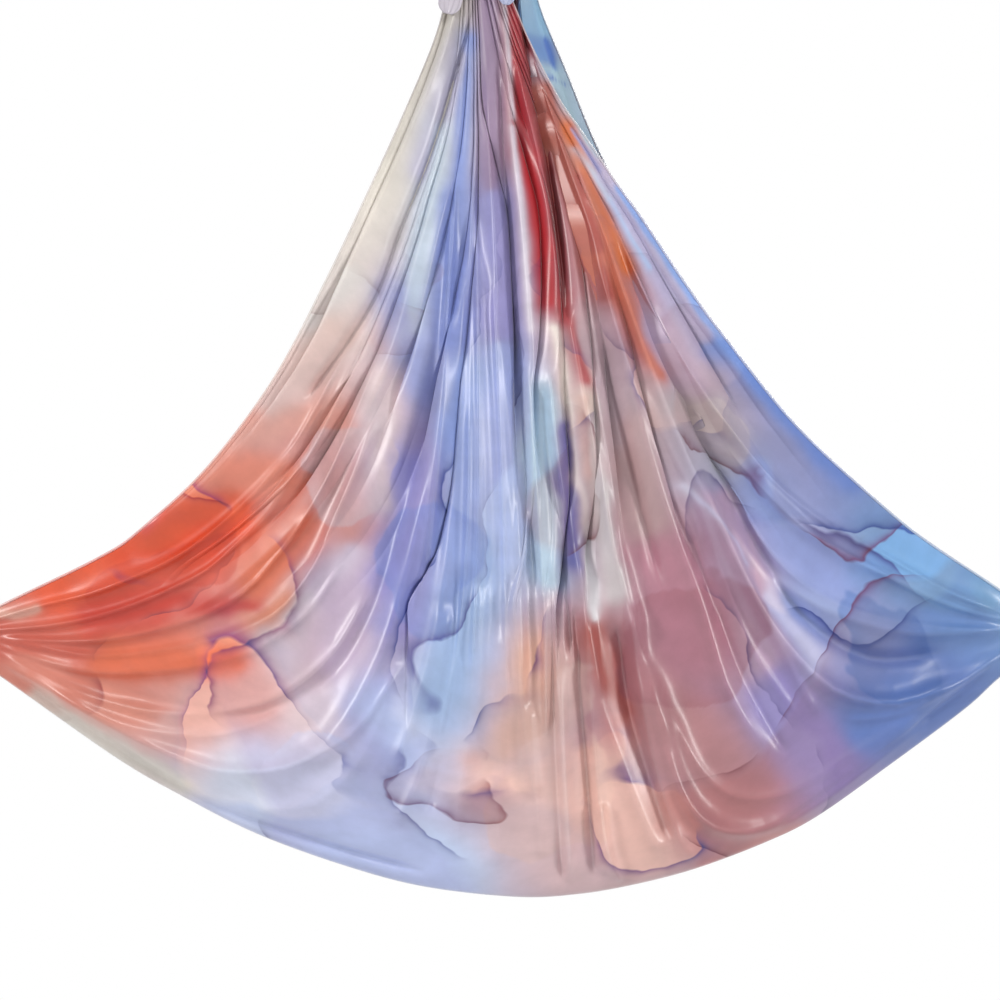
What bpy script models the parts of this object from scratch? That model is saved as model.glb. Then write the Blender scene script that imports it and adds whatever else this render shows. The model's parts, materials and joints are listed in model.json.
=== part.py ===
"""Aerial hammock: a wide sheet of stretch tricot hung double from one ceiling point.

The two ends of the sheet are gathered, looped over two lower carabiners and knotted. Both carabiners
hang in the lower eye of a swivel, which hangs by a third carabiner from the eye of a ceiling plate.
Units are metres, +Z is up, the origin is at the ceiling face, and -Y is the front of the cloth.
"""

import math

import bmesh
import bpy
import numpy as np
from mathutils import Matrix, Vector
from mathutils.geometry import delaunay_2d_cdt

# Driving dimensions of the cloth, as hung
CLOTH_SPREAD = 2.66
CLOTH_DROP = 2.25
CLOTH_THICKNESS = 0.003
GATHER_THICKNESS = 0.034
POCKET_HALF_DEPTH = 0.055
FOLD_RADIUS = 0.08
CORNER_FLATTENING = 0.22
RIDGE_REACH = 0.026
VALLEY_REACH = 0.32
OUTLINE_STEP = 0.075
RIDGE_STEP = 0.092
FILL_STEP = 0.108

# Ceiling plate, eye and anchors
PLATE_SIDE = 0.100
PLATE_THICKNESS = 0.008
EYE_ROD_RADIUS = 0.006
EYE_HOLE_RADIUS = 0.014
EYE_DEPTH = 0.037
BOLT_SPACING = 0.068
BOLT_RADIUS = 0.005
BOLT_HEAD_RADIUS = 0.0098
BOLT_HEAD_HEIGHT = 0.0064
BOLT_LENGTH = 0.050
WASHER_RADIUS = 0.0105
WASHER_THICKNESS = 0.002

# Screw-gate carabiners
LINK_ROD_RADIUS = 0.0055
LINK_LENGTH = 0.099
LINK_WIDTH = 0.051
HINGE_RISE = 0.0055
NOSE_DROP = 0.0025
NOSE_GAP = 0.0006
EAR_RISE = 0.004
GATE_RISE = 0.008
TONGUE_THICKNESS = 0.0046
TONGUE_RADIUS = 0.0045
SLOT_CLEARANCE = 0.0003
RIVET_RADIUS = 0.0016
SLEEVE_WALL = 0.0027
SLEEVE_LENGTH = 0.020
SLEEVE_TRAVEL = 0.014
SLEEVE_CLEARANCE = 0.0004

# Swivel
SWIVEL_ROD_RADIUS = 0.006
SWIVEL_HOLE_RADIUS = 0.011
HOUSING_RADIUS = 0.017
HOUSING_WALL = 0.005
HOUSING_CAVITY = 0.018
HOUSING_LIP = 0.008
SHAFT_RADIUS = 0.007
BEARING_THICKNESS = 0.004
NUT_RADIUS = 0.0108
NUT_HEIGHT = 0.006
LOWER_EYE_HEIGHT = 0.024
LOWER_EYE_HALF_FLAT = 0.009
LOWER_LINK_SPACING = 0.014
SPLAY_DEGREES = 18

# Knots
LOOP_HALF_THICKNESS = 0.013
LOOP_HALF_WIDTH = 0.0165
KNOT_RADIUS = 0.032
KNOT_DROP = 0.043
KNOT_HEIGHT = 0.060
KNOT_FOOT_RADIUS = 0.021
TAIL_HALF_WIDTH = 0.030
TAIL_HALF_THICKNESS = 0.007

# Fits and cutter overruns
GAP = 0.0003
RUNNING_GAP = 0.0001
OVERRUN = 0.004

# Places in the cloth as shares of the square that frames it, x to the right and y down
AXIS_SHARE = 0.495
GATHER_SHARE = -0.090
BOTTOM_SHARE = 0.901
SPREAD_SHARE = 1.173

LEFT_CORNER_SHARES = [
    (0.000, 0.605), (-0.038, 0.623), (-0.053, 0.630), (-0.070, 0.620), (-0.087, 0.627), (-0.088, 0.642),
    (-0.074, 0.655), (-0.053, 0.647), (-0.038, 0.656),
]
RIGHT_CORNER_SHARES = [
    (1.000, 0.684), (1.033, 0.654), (1.047, 0.642), (1.066, 0.651), (1.083, 0.641), (1.085, 0.624),
    (1.069, 0.611), (1.047, 0.622), (1.033, 0.610),
]
BOTTOM_SHARES = [
    (0.000, 0.682), (0.111, 0.760), (0.180, 0.800), (0.256, 0.838), (0.348, 0.871), (0.426, 0.891),
    (0.518, 0.901), (0.580, 0.898), (0.638, 0.888), (0.699, 0.872), (0.768, 0.846), (0.820, 0.820),
    (0.895, 0.767), (0.969, 0.712), (1.000, 0.684),
]
LEFT_SELVEDGE_SHARES = [
    (0.463, -0.090), (0.456, -0.045), (0.446, 0.000), (0.432, 0.048), (0.400, 0.125), (0.366, 0.200),
    (0.330, 0.276), (0.275, 0.380), (0.207, 0.470), (0.140, 0.531), (0.094, 0.560), (0.000, 0.605),
]
RIGHT_SELVEDGE_SHARES = [
    (0.527, -0.090), (0.531, -0.045), (0.542, 0.000), (0.568, 0.062), (0.595, 0.128), (0.623, 0.184),
    (0.662, 0.247), (0.730, 0.342), (0.812, 0.440), (0.890, 0.509), (0.934, 0.544), (1.000, 0.587),
]
FRONT_INNER_EDGE_SHARES = [
    (0.482, -0.090), (0.496, -0.045), (0.512, 0.000), (0.534, 0.056), (0.556, 0.105), (0.582, 0.160),
    (0.612, 0.222), (0.645, 0.281), (0.690, 0.335), (0.785, 0.426), (0.888, 0.510), (0.934, 0.544),
    (1.000, 0.587),
]
BACK_INNER_EDGE_SHARES = [
    (0.508, -0.090), (0.496, -0.045), (0.480, 0.000), (0.458, 0.056), (0.436, 0.105), (0.410, 0.160),
    (0.380, 0.222), (0.348, 0.281), (0.306, 0.340), (0.209, 0.473), (0.140, 0.531), (0.094, 0.560),
    (0.000, 0.605),
]

# Each fold: height of its crest in metres, then its crest line in shares of the frame
FRONT_FOLDS = [
    (0.016, [(0.468, -0.03), (0.452, 0.04), (0.425, 0.10), (0.390, 0.18), (0.352, 0.26), (0.312, 0.34),
             (0.262, 0.42), (0.200, 0.49), (0.120, 0.55)]),
    (0.013, [(0.474, 0.02), (0.452, 0.097), (0.414, 0.209), (0.389, 0.275), (0.355, 0.357), (0.316, 0.425),
             (0.270, 0.480), (0.221, 0.527), (0.150, 0.567), (0.060, 0.600)]),
    (0.012, [(0.457, 0.12), (0.432, 0.204), (0.399, 0.332), (0.374, 0.400), (0.339, 0.456), (0.301, 0.520),
             (0.247, 0.575), (0.180, 0.616), (0.090, 0.637)]),
    (0.014, [(0.465, 0.14), (0.440, 0.23), (0.425, 0.30), (0.405, 0.38), (0.370, 0.45), (0.330, 0.54),
             (0.290, 0.61), (0.220, 0.65), (0.130, 0.665), (0.040, 0.652)]),
    (0.018, [(0.455, 0.25), (0.447, 0.34), (0.440, 0.42), (0.418, 0.518), (0.400, 0.600), (0.373, 0.670),
             (0.330, 0.738), (0.270, 0.770), (0.200, 0.766), (0.120, 0.725), (0.040, 0.680)]),
    (0.013, [(0.463, 0.25), (0.461, 0.38), (0.450, 0.53), (0.438, 0.62), (0.415, 0.71), (0.385, 0.79)]),
    (0.012, [(0.478, 0.20), (0.483, 0.40), (0.484, 0.53), (0.482, 0.64), (0.472, 0.76)]),
    (0.013, [(0.487, 0.03), (0.490, 0.16), (0.498, 0.35), (0.512, 0.54), (0.520, 0.65), (0.522, 0.76)]),
    (0.016, [(0.500, -0.02), (0.508, 0.09), (0.524, 0.25), (0.538, 0.42), (0.553, 0.62), (0.559, 0.74),
             (0.566, 0.885)]),
    (0.018, [(0.509, 0.033), (0.531, 0.128), (0.552, 0.245), (0.582, 0.390), (0.610, 0.533), (0.634, 0.66)]),
    (0.014, [(0.526, 0.06), (0.549, 0.128), (0.588, 0.268), (0.625, 0.400), (0.650, 0.500), (0.686, 0.600),
             (0.720, 0.700), (0.775, 0.780)]),
    (0.018, [(0.562, 0.15), (0.590, 0.215), (0.620, 0.300), (0.645, 0.365), (0.679, 0.444), (0.705, 0.499),
             (0.736, 0.561), (0.766, 0.615), (0.799, 0.659), (0.850, 0.690), (0.930, 0.675)]),
    (0.012, [(0.645, 0.315), (0.689, 0.390), (0.733, 0.442), (0.774, 0.496), (0.830, 0.550), (0.890, 0.578),
             (0.960, 0.597)]),
    (0.010, [(0.719, 0.505), (0.751, 0.553), (0.790, 0.599), (0.850, 0.630), (0.940, 0.640)]),
    (0.014, [(0.575, 0.540), (0.592, 0.640), (0.617, 0.750), (0.640, 0.810), (0.668, 0.865)]),
    (0.012, [(0.650, 0.660), (0.668, 0.740), (0.690, 0.803), (0.725, 0.830), (0.790, 0.815), (0.880, 0.748),
             (0.960, 0.690)]),
]
BACK_FOLDS = [
    (0.015, [(0.505, 0.02), (0.470, 0.14), (0.420, 0.27), (0.350, 0.39), (0.250, 0.49), (0.130, 0.57)]),
    (0.014, [(0.510, 0.08), (0.480, 0.25), (0.430, 0.40), (0.350, 0.53), (0.230, 0.62), (0.080, 0.64)]),
    (0.018, [(0.512, 0.12), (0.495, 0.33), (0.460, 0.53), (0.400, 0.68), (0.300, 0.76), (0.150, 0.72)]),
    (0.014, [(0.514, 0.04), (0.508, 0.30), (0.490, 0.55), (0.460, 0.80)]),
    (0.016, [(0.519, 0.02), (0.530, 0.28), (0.540, 0.55), (0.545, 0.84)]),
    (0.014, [(0.523, 0.06), (0.560, 0.28), (0.595, 0.50), (0.640, 0.70), (0.690, 0.82)]),
    (0.018, [(0.528, 0.02), (0.575, 0.20), (0.630, 0.37), (0.700, 0.54), (0.790, 0.66), (0.920, 0.67)]),
    (0.014, [(0.540, 0.04), (0.590, 0.17), (0.660, 0.31), (0.750, 0.43), (0.860, 0.54), (0.960, 0.60)]),
]
FOLD_FADE_SHARE = 0.14
FOLD_DEPTH_SHARE = 2.4
NEAREST_SHARE = 0.16
TOP_FAN_SHARE = 0.14
FULL_FAN_SHARE = 0.55

# Shape counts and shares without units
ROD_SIDES = 10
ARC_STEPS = 8
TURN_STEPS = 24
KNOT_WRAP_DEPTH_SHARE = 0.10
KNOT_RINGS = 11
KNOT_SEGMENTS = 20


def clear_scene():
    for obj in list(bpy.data.objects):
        bpy.data.objects.remove(obj, do_unlink=True)


def material(name, colour, roughness, metallic):
    made = bpy.data.materials.new(name)
    made.use_nodes = True
    shader = made.node_tree.nodes["Principled BSDF"]
    shader.inputs["Base Color"].default_value = (*colour, 1)
    shader.inputs["Roughness"].default_value = roughness
    shader.inputs["Metallic"].default_value = metallic
    return made


def pivot(name, place, parent=None, tilt=0):
    """An empty on a joint's axis; place is relative to its parent."""
    empty = bpy.data.objects.new(name, None)
    bpy.context.scene.collection.objects.link(empty)
    empty.parent = parent
    empty.location = place
    empty.rotation_euler = (0, tilt, 0)
    return empty


def link_object(name, mesh, look=None, parent=None, place=(0, 0, 0)):
    obj = bpy.data.objects.new(name, mesh)
    bpy.context.scene.collection.objects.link(obj)
    obj.parent = parent
    obj.location = place
    if look:
        mesh.materials.clear()
        mesh.materials.append(look)
    return obj


def mesh_of(name, shape):
    bmesh.ops.recalc_face_normals(shape, faces=shape.faces)
    mesh = bpy.data.meshes.new(name)
    shape.to_mesh(mesh)
    shape.free()
    mesh.shade_smooth()
    mesh.set_sharp_from_angle(angle=math.radians(40))
    return mesh


def loft(name, rings, closed=False):
    """One closed body through rings of points; a closed loft joins its last ring to its first."""
    shape = bmesh.new()
    rows = [[shape.verts.new(point) for point in ring] for ring in rings]
    pairs = list(zip(rows, rows[1:])) + ([(rows[-1], rows[0])] if closed else [])
    for lower, upper in pairs:
        count = len(lower)
        for i in range(count):
            shape.faces.new((lower[i], lower[(i + 1) % count], upper[(i + 1) % count], upper[i]))
    if not closed:
        shape.faces.new(list(reversed(rows[0])))
        shape.faces.new(rows[-1])
    return mesh_of(name, shape)


def rod(name, path, half_wide, half_deep, side, closed=False, sides=ROD_SIDES):
    """Sweeps an ellipse along a path that stays square to the direction side."""
    side = Vector(side)
    count = len(path)
    rings = []
    for i, point in enumerate(path):
        before = path[i - 1] if closed or i else path[i]
        after = path[(i + 1) % count] if closed or i + 1 < count else path[i]
        across = side.cross(after - before).normalized()
        rings.append([
            point + across * (half_deep * math.cos(turn)) + side * (half_wide * math.sin(turn))
            for turn in (math.tau * k / sides for k in range(sides))
        ])
    return loft(name, rings, closed)


def arc(centre, radius, start, end, across, up, steps=ARC_STEPS):
    """Points from one angle to another, counted from across towards up."""
    centre = Vector(centre)
    angles = [math.radians(start + (end - start) * k / steps) for k in range(steps + 1)]
    return [centre + Vector(across) * (radius * math.cos(a)) + Vector(up) * (radius * math.sin(a)) for a in angles]


def turned(name, profile, segments=TURN_STEPS):
    """A closed ring or solid turned about Z from (radius, height) points."""
    rings = []
    for k in range(segments):
        angle = math.tau * k / segments
        rings.append([Vector((r * math.cos(angle), r * math.sin(angle), z)) for r, z in profile])
    return loft(name, rings, closed=True)


def disc(name, radius, low, high, segments=TURN_STEPS, along="Z"):
    """A cylinder from low to high along one axis."""
    shape = bmesh.new()
    bmesh.ops.create_cone(shape, cap_ends=True, segments=segments, radius1=radius, radius2=radius, depth=high - low)
    spin = {"Z": Matrix(), "X": Matrix.Rotation(math.pi / 2, 4, "Y")}[along]
    shift = {"Z": Vector((0, 0, (low + high) / 2)), "X": Vector(((low + high) / 2, 0, 0))}[along]
    bmesh.ops.transform(shape, matrix=Matrix.Translation(shift) @ spin, verts=shape.verts)
    return mesh_of(name, shape)


def block(name, size, place):
    shape = bmesh.new()
    bmesh.ops.create_cube(shape, size=1)
    bmesh.ops.scale(shape, vec=size, verts=shape.verts)
    bmesh.ops.translate(shape, vec=place, verts=shape.verts)
    return mesh_of(name, shape)


def moved(mesh, place):
    mesh.transform(Matrix.Translation(place))
    return mesh


def combined(name, base, steps):
    """The mesh that is left after each (operation, tool mesh) step on the base mesh."""
    body = link_object(name, base)
    tools = []
    for operation, tool_mesh in steps:
        tool = link_object(name + "_tool", tool_mesh)
        tool.hide_render = True
        tool.display_type = "WIRE"
        boolean = body.modifiers.new(operation, "BOOLEAN")
        boolean.operation = operation
        boolean.object = tool
        tools.append(tool)
    bpy.context.view_layer.update()
    evaluated = body.evaluated_get(bpy.context.evaluated_depsgraph_get())
    mesh = bpy.data.meshes.new_from_object(evaluated)
    for obj in tools + [body]:
        bpy.data.objects.remove(obj, do_unlink=True)
    mesh.name = name
    mesh.shade_smooth()
    mesh.set_sharp_from_angle(angle=math.radians(40))
    return mesh


def smooth_line(points, step):
    """Points about a step apart on the Catmull-Rom curve through the given points."""
    given = [Vector(point) for point in points]
    ends = [2 * given[0] - given[1]] + given + [2 * given[-1] - given[-2]]
    line = []
    for a, b, c, d in zip(ends, ends[1:], ends[2:], ends[3:]):
        pieces = max(1, round((c - b).length / step))
        for k in range(pieces):
            t = k / pieces
            bend = (2 * a - 5 * b + 4 * c - d) * t ** 2 + (3 * b - a - 3 * c + d) * t ** 3
            line.append((2 * b + (c - a) * t + bend) / 2)
    line.append(given[-1])
    return line


# Levels worked out down the chain
eye_rod_level = -(PLATE_THICKNESS + EYE_DEPTH)
top_link_level = eye_rod_level + EYE_ROD_RADIUS + LINK_ROD_RADIUS + GAP
top_link_foot = top_link_level - LINK_LENGTH
upper_eye_centre = top_link_foot + LINK_ROD_RADIUS + GAP - SWIVEL_HOLE_RADIUS
housing_top = upper_eye_centre - SWIVEL_HOLE_RADIUS - SWIVEL_ROD_RADIUS
cavity_top = housing_top - HOUSING_WALL
lip_top = cavity_top - HOUSING_CAVITY
housing_bottom = lip_top - HOUSING_LIP
lower_eye_top = housing_bottom - GAP - SWIVEL_ROD_RADIUS
lower_rod_level = lower_eye_top - LOWER_EYE_HEIGHT - 2 * SWIVEL_ROD_RADIUS
lower_link_level = lower_rod_level + SWIVEL_ROD_RADIUS + LINK_ROD_RADIUS + GAP
splay = math.radians(SPLAY_DEGREES)
knot_centre_drop = LINK_LENGTH + KNOT_DROP
gather_level = lower_link_level - knot_centre_drop * math.cos(splay) - KNOT_HEIGHT / 2 - GAP
spread_scale = CLOTH_SPREAD / SPREAD_SHARE
drop_scale = CLOTH_DROP / (BOTTOM_SHARE - GATHER_SHARE)


def hung(share):
    """Where a share of the frame lies in the plane of the cloth, as (x, z)."""
    return ((share[0] - AXIS_SHARE) * spread_scale, gather_level - (share[1] - GATHER_SHARE) * drop_scale)


def make_ceiling_plate(steel, zinc):
    side = BOLT_SPACING / 2
    plate = block("plate", (PLATE_SIDE, PLATE_SIDE, PLATE_THICKNESS), (0, 0, -PLATE_THICKNESS / 2))
    mean = EYE_HOLE_RADIUS + EYE_ROD_RADIUS
    centre_level = eye_rod_level + mean
    foot = -PLATE_THICKNESS + PLATE_THICKNESS / 2
    path = [Vector((mean, 0, foot))]
    path += arc((0, 0, centre_level), mean, 0, -180, (1, 0, 0), (0, 0, 1), 2 * ARC_STEPS)
    path.append(Vector((-mean, 0, foot)))
    steps = [("UNION", rod("eye", path, EYE_ROD_RADIUS, EYE_ROD_RADIUS, (0, 1, 0)))]
    corners = [(x, y) for x in (-side, side) for y in (-side, side)]
    for x, y in corners:
        hole = disc("hole", BOLT_RADIUS + GAP, -PLATE_THICKNESS - OVERRUN, OVERRUN, ARC_STEPS * 2)
        steps.append(("DIFFERENCE", moved(hole, (x, y, 0))))
    plate.materials.clear()
    mesh = combined("ceiling_plate", plate, steps)
    link_object("ceiling_plate", mesh, steel)
    washer_top = -PLATE_THICKNESS - GAP
    head_top = washer_top - WASHER_THICKNESS - GAP
    inner = BOLT_RADIUS + GAP
    ring = [(inner, 0), (WASHER_RADIUS, 0), (WASHER_RADIUS, WASHER_THICKNESS), (inner, WASHER_THICKNESS)]
    for number, (x, y) in enumerate(corners, 1):
        washer = turned(f"anchor_washer_{number}", ring, ARC_STEPS * 2)
        link_object(f"anchor_washer_{number}", washer, zinc, place=(x, y, washer_top - WASHER_THICKNESS))
        head = disc("head", BOLT_HEAD_RADIUS, head_top - BOLT_HEAD_HEIGHT, head_top, 6)
        shank = disc("shank", BOLT_RADIUS, head_top - BOLT_HEAD_HEIGHT / 2, BOLT_LENGTH, ARC_STEPS * 2)
        bolt = combined(f"anchor_bolt_{number}", head, [("UNION", shank)])
        link_object(f"anchor_bolt_{number}", bolt, zinc, place=(x, y, 0))


def carabiner_meshes():
    """Body, gate, rivet and sleeve of a screw-gate carabiner, with the top bar's middle at the origin."""
    half = LINK_WIDTH / 2
    low = -(LINK_LENGTH - half)
    up, out = (0, 0, 1), (0, 1, 0)
    hinge = Vector((0, half, low + HINGE_RISE))
    path = [Vector((0, half, -half - NOSE_DROP))]
    path += arc((0, 0, -half), half, 0, 180, out, up, 2 * ARC_STEPS)
    path += arc((0, 0, low), half, 180, 360, out, up, 2 * ARC_STEPS)
    path.append(Vector((0, half, hinge.z + EAR_RISE)))
    body = rod("link", path, LINK_ROD_RADIUS, LINK_ROD_RADIUS, (1, 0, 0), sides=12)
    slot_foot = hinge.z - TONGUE_RADIUS - 2 * SLOT_CLEARANCE
    slot_head = hinge.z + EAR_RISE + OVERRUN
    slot_width = TONGUE_THICKNESS + 2 * SLOT_CLEARANCE
    slot_depth = 2 * (LINK_ROD_RADIUS + OVERRUN)
    slot = block("slot", (slot_width, slot_depth, slot_head - slot_foot), (0, half, (slot_head + slot_foot) / 2))
    reach = LINK_ROD_RADIUS + OVERRUN
    hole = moved(disc("hole", RIVET_RADIUS + RUNNING_GAP, -reach, reach, 12, "X"), hinge)
    body = combined("link_body", body, [("DIFFERENCE", slot), ("DIFFERENCE", hole)])

    tip = -half - NOSE_DROP - NOSE_GAP
    heel = hinge.z + GATE_RISE
    gate = moved(disc("gate", LINK_ROD_RADIUS, heel, tip, 12), (0, half, 0))
    tongue_half = TONGUE_THICKNESS / 2
    knuckle = moved(disc("knuckle", TONGUE_RADIUS, -tongue_half, tongue_half, 16, "X"), hinge)
    neck_size = (TONGUE_THICKNESS, 2 * TONGUE_RADIUS, GATE_RISE + LINK_ROD_RADIUS)
    neck = block("neck", neck_size, (0, half, hinge.z + (GATE_RISE + LINK_ROD_RADIUS) / 2))
    hole = moved(disc("hole", RIVET_RADIUS + RUNNING_GAP, -reach, reach, 12, "X"), hinge)
    gate = combined("link_gate", gate, [("UNION", neck), ("UNION", knuckle), ("DIFFERENCE", hole)])
    rivet_half = LINK_ROD_RADIUS
    rivet = moved(disc("rivet", RIVET_RADIUS, -rivet_half, rivet_half, 12, "X"), hinge)
    inner = LINK_ROD_RADIUS + SLEEVE_CLEARANCE
    outer = inner + SLEEVE_WALL
    ring = [(inner, 0), (outer, 0), (outer, SLEEVE_LENGTH), (inner, SLEEVE_LENGTH)]
    seat = heel + 2 * EAR_RISE
    sleeve = moved(turned("sleeve", ring, 16), (0, half, seat))
    for mesh in (gate, sleeve):
        mesh.transform(Matrix.Translation(-hinge))
    return body, gate, rivet, sleeve, hinge


def make_carabiner(name, parts, looks, frame, turn):
    """Places one carabiner in a frame at its top bar; turn is 1 or -1 for a gate at the back or front."""
    body, gate, rivet, sleeve, hinge = (part.copy() for part in parts)
    flip = Matrix.Rotation(0 if turn > 0 else math.pi, 4, "Z")
    for mesh in (body, gate, rivet, sleeve):
        mesh.transform(flip)
    hinge = flip @ hinge
    link_object(f"{name}_body", body, looks["steel"], frame)
    link_object(f"{name}_rivet", rivet, looks["zinc"], frame)
    gate_pivot = pivot(f"{name}_gate_pivot", hinge, frame)
    link_object(f"{name}_gate", gate, looks["steel"], gate_pivot)
    link_object(f"{name}_sleeve", sleeve, looks["dark"], gate_pivot)
    bpy.context.view_layer.update()
    print(name, "gate hinge at", [round(v, 5) for v in gate_pivot.matrix_world.translation],
          "axis", [round(v, 5) for v in gate_pivot.matrix_world.to_3x3() @ Vector((turn, 0, 0))],
          "sleeve axis", [round(v, 5) for v in gate_pivot.matrix_world.to_3x3() @ Vector((0, 0, 1))])


def make_swivel(looks, swing_pivot, turn_pivot):
    """Upper eye with its housing on the swing pivot; bearing, nut, shaft and lower eye below it."""
    origin = Vector((0, 0, -top_link_foot))
    mean = SWIVEL_HOLE_RADIUS + SWIVEL_ROD_RADIUS
    ring = rod("ring", arc((0, 0, upper_eye_centre), mean, 0, 345, (1, 0, 0), (0, 0, 1), TURN_STEPS - 1),
               SWIVEL_ROD_RADIUS, SWIVEL_ROD_RADIUS, (0, 1, 0), closed=True)
    shoulder = housing_top + SWIVEL_ROD_RADIUS
    cup = disc("cup", HOUSING_RADIUS, housing_bottom, shoulder)
    cavity_radius = HOUSING_RADIUS - HOUSING_WALL
    cavity = disc("cavity", cavity_radius, lip_top, cavity_top)
    bore = disc("bore", SHAFT_RADIUS + GAP, housing_bottom - OVERRUN, lip_top + OVERRUN)
    eye_gap = moved(disc("eye_gap", SWIVEL_HOLE_RADIUS, -HOUSING_RADIUS - OVERRUN, HOUSING_RADIUS + OVERRUN, TURN_STEPS, "X"),
                    (0, 0, 0))
    eye_gap.transform(Matrix.Rotation(math.pi / 2, 4, "Z"))
    moved(eye_gap, (0, 0, upper_eye_centre))
    housing = combined("swivel_housing", cup, [
        ("DIFFERENCE", eye_gap), ("UNION", ring), ("DIFFERENCE", cavity), ("DIFFERENCE", bore),
    ])
    link_object("swivel_housing", housing, looks["steel"], swing_pivot, origin)

    bearing_bottom = lip_top + GAP
    nut_bottom = bearing_bottom + BEARING_THICKNESS + GAP
    inner = SHAFT_RADIUS + GAP
    outer = cavity_radius - GAP
    ring = [(inner, 0), (outer, 0), (outer, BEARING_THICKNESS), (inner, BEARING_THICKNESS)]
    link_object("swivel_bearing", turned("swivel_bearing", ring), looks["zinc"], turn_pivot,
                origin + Vector((0, 0, bearing_bottom)))
    nut = disc("nut", NUT_RADIUS, nut_bottom, nut_bottom + NUT_HEIGHT, 6)
    thread = disc("thread", SHAFT_RADIUS + RUNNING_GAP, nut_bottom - OVERRUN, nut_bottom + NUT_HEIGHT + OVERRUN)
    nut = combined("swivel_nut", nut, [("DIFFERENCE", thread)])
    link_object("swivel_nut", nut, looks["zinc"], turn_pivot, origin)

    corner = (LOWER_EYE_HEIGHT + 2 * SWIVEL_ROD_RADIUS) / 2
    middle = (lower_eye_top + lower_rod_level) / 2
    across, up = (1, 0, 0), (0, 0, 1)
    path = arc((LOWER_EYE_HALF_FLAT, 0, middle), corner, -90, 90, across, up)
    path += arc((-LOWER_EYE_HALF_FLAT, 0, middle), corner, 90, 270, across, up)
    eye = rod("eye", path, SWIVEL_ROD_RADIUS, SWIVEL_ROD_RADIUS, (0, 1, 0), closed=True)
    shaft = disc("shaft", SHAFT_RADIUS, lower_eye_top, nut_bottom + NUT_HEIGHT + GAP)
    eye = combined("swivel_shaft_eye", eye, [("UNION", shaft)])
    link_object("swivel_shaft_eye", eye, looks["steel"], turn_pivot, origin)


def knot_radius(share, angle):
    """Radius of a knot at a share of its height and an angle, with the wraps that run round it."""
    belly = KNOT_FOOT_RADIUS + (KNOT_RADIUS - KNOT_FOOT_RADIUS) * math.sin(math.pi * share) ** 0.7
    return belly * (1 + KNOT_WRAP_DEPTH_SHARE * math.sin(3 * math.pi * share + angle) * math.sin(math.pi * share))


def make_knot(side, frame, look):
    """The loop over the carabiner's lower bar and the knot under it; side is -1 for the left one."""
    name = "left" if side < 0 else "right"
    mean = LINK_ROD_RADIUS + GAP + LOOP_HALF_THICKNESS
    bar = Vector((0, 0, -LINK_LENGTH))
    knot_middle = bar + Vector((0, 0, -KNOT_DROP))
    path = [Vector((mean, 0, knot_middle.z))]
    path += arc(bar, mean, 0, 180, (1, 0, 0), (0, 0, 1))
    path.append(Vector((-mean, 0, knot_middle.z)))
    loop = rod("loop", path, LOOP_HALF_WIDTH, LOOP_HALF_THICKNESS, (0, 1, 0), sides=12)
    rings = []
    half = KNOT_HEIGHT / 2
    for i in range(KNOT_RINGS):
        share = i / (KNOT_RINGS - 1)
        height = -half + share * KNOT_HEIGHT
        ring = []
        for k in range(KNOT_SEGMENTS):
            angle = math.tau * k / KNOT_SEGMENTS
            radius = knot_radius(share, angle)
            ring.append(Vector((radius * math.cos(angle), radius * math.sin(angle), height)))
        rings.append(ring)
    knot = loft("knot", rings)
    upright = Matrix.Rotation(-frame.rotation_euler.y, 4, "Y")
    knot.transform(Matrix.Translation(knot_middle) @ upright)
    mesh = combined(f"{name}_knot", loop, [("UNION", knot)])
    link_object(f"{name}_knot", mesh, look, frame)
    return frame.location + frame.rotation_euler.to_matrix() @ knot_middle


def make_tail(name, knot_place, foot_share, half_width, parent, look):
    """The loose end below a knot, hanging in front of the gathered cloth."""
    foot_x, foot_z = hung(foot_share)
    foot = Vector((foot_x, 0, foot_z)) - parent.location_from_top
    turns = [math.tau * k / KNOT_SEGMENTS for k in range(KNOT_SEGMENTS)]
    shares = [i / (KNOT_RINGS - 1) for i in range(KNOT_RINGS)]
    front, share = max((-knot_radius(share, turn) * math.sin(turn), share) for share in shares for turn in turns)
    head = Vector(knot_place) + Vector((0, -front - GAP - TAIL_HALF_THICKNESS, (share - 0.5) * KNOT_HEIGHT))
    foot.y = head.y - KNOT_RADIUS
    middle = (head + foot) / 2 + Vector((0, -KNOT_RADIUS / 2, 0))
    rings = []
    path = smooth_line([head, middle, foot], (head - foot).length / ARC_STEPS)
    count = len(path) - 1
    for i, point in enumerate(path):
        share = i / count
        wide = half_width * (0.45 + 0.55 * math.sin(math.pi * (0.12 + 0.62 * share)))
        deep = TAIL_HALF_THICKNESS * (1 - 0.55 * share)
        rings.append([
            point + Vector((wide * math.cos(turn), deep * math.sin(turn), 0))
            for turn in (math.tau * k / 16 for k in range(16))
        ])
    link_object(name, loft(name, rings), look, parent.empty)


def fold_lines(folds):
    """Each fold as its crest height and its crest line, sampled finely for the heights."""
    return [(height, np.array([hung(p) for p in smooth_line([(*s, 0) for s in line], FOLD_FADE_SHARE / 8)]))
            for height, line in folds]


def fan(depth_share):
    """How wide the folds are at a level, from the gather to where they have fanned out."""
    share = min(max(depth_share / FULL_FAN_SHARE, 0), 1)
    return TOP_FAN_SHARE + (1 - TOP_FAN_SHARE) * share


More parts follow.
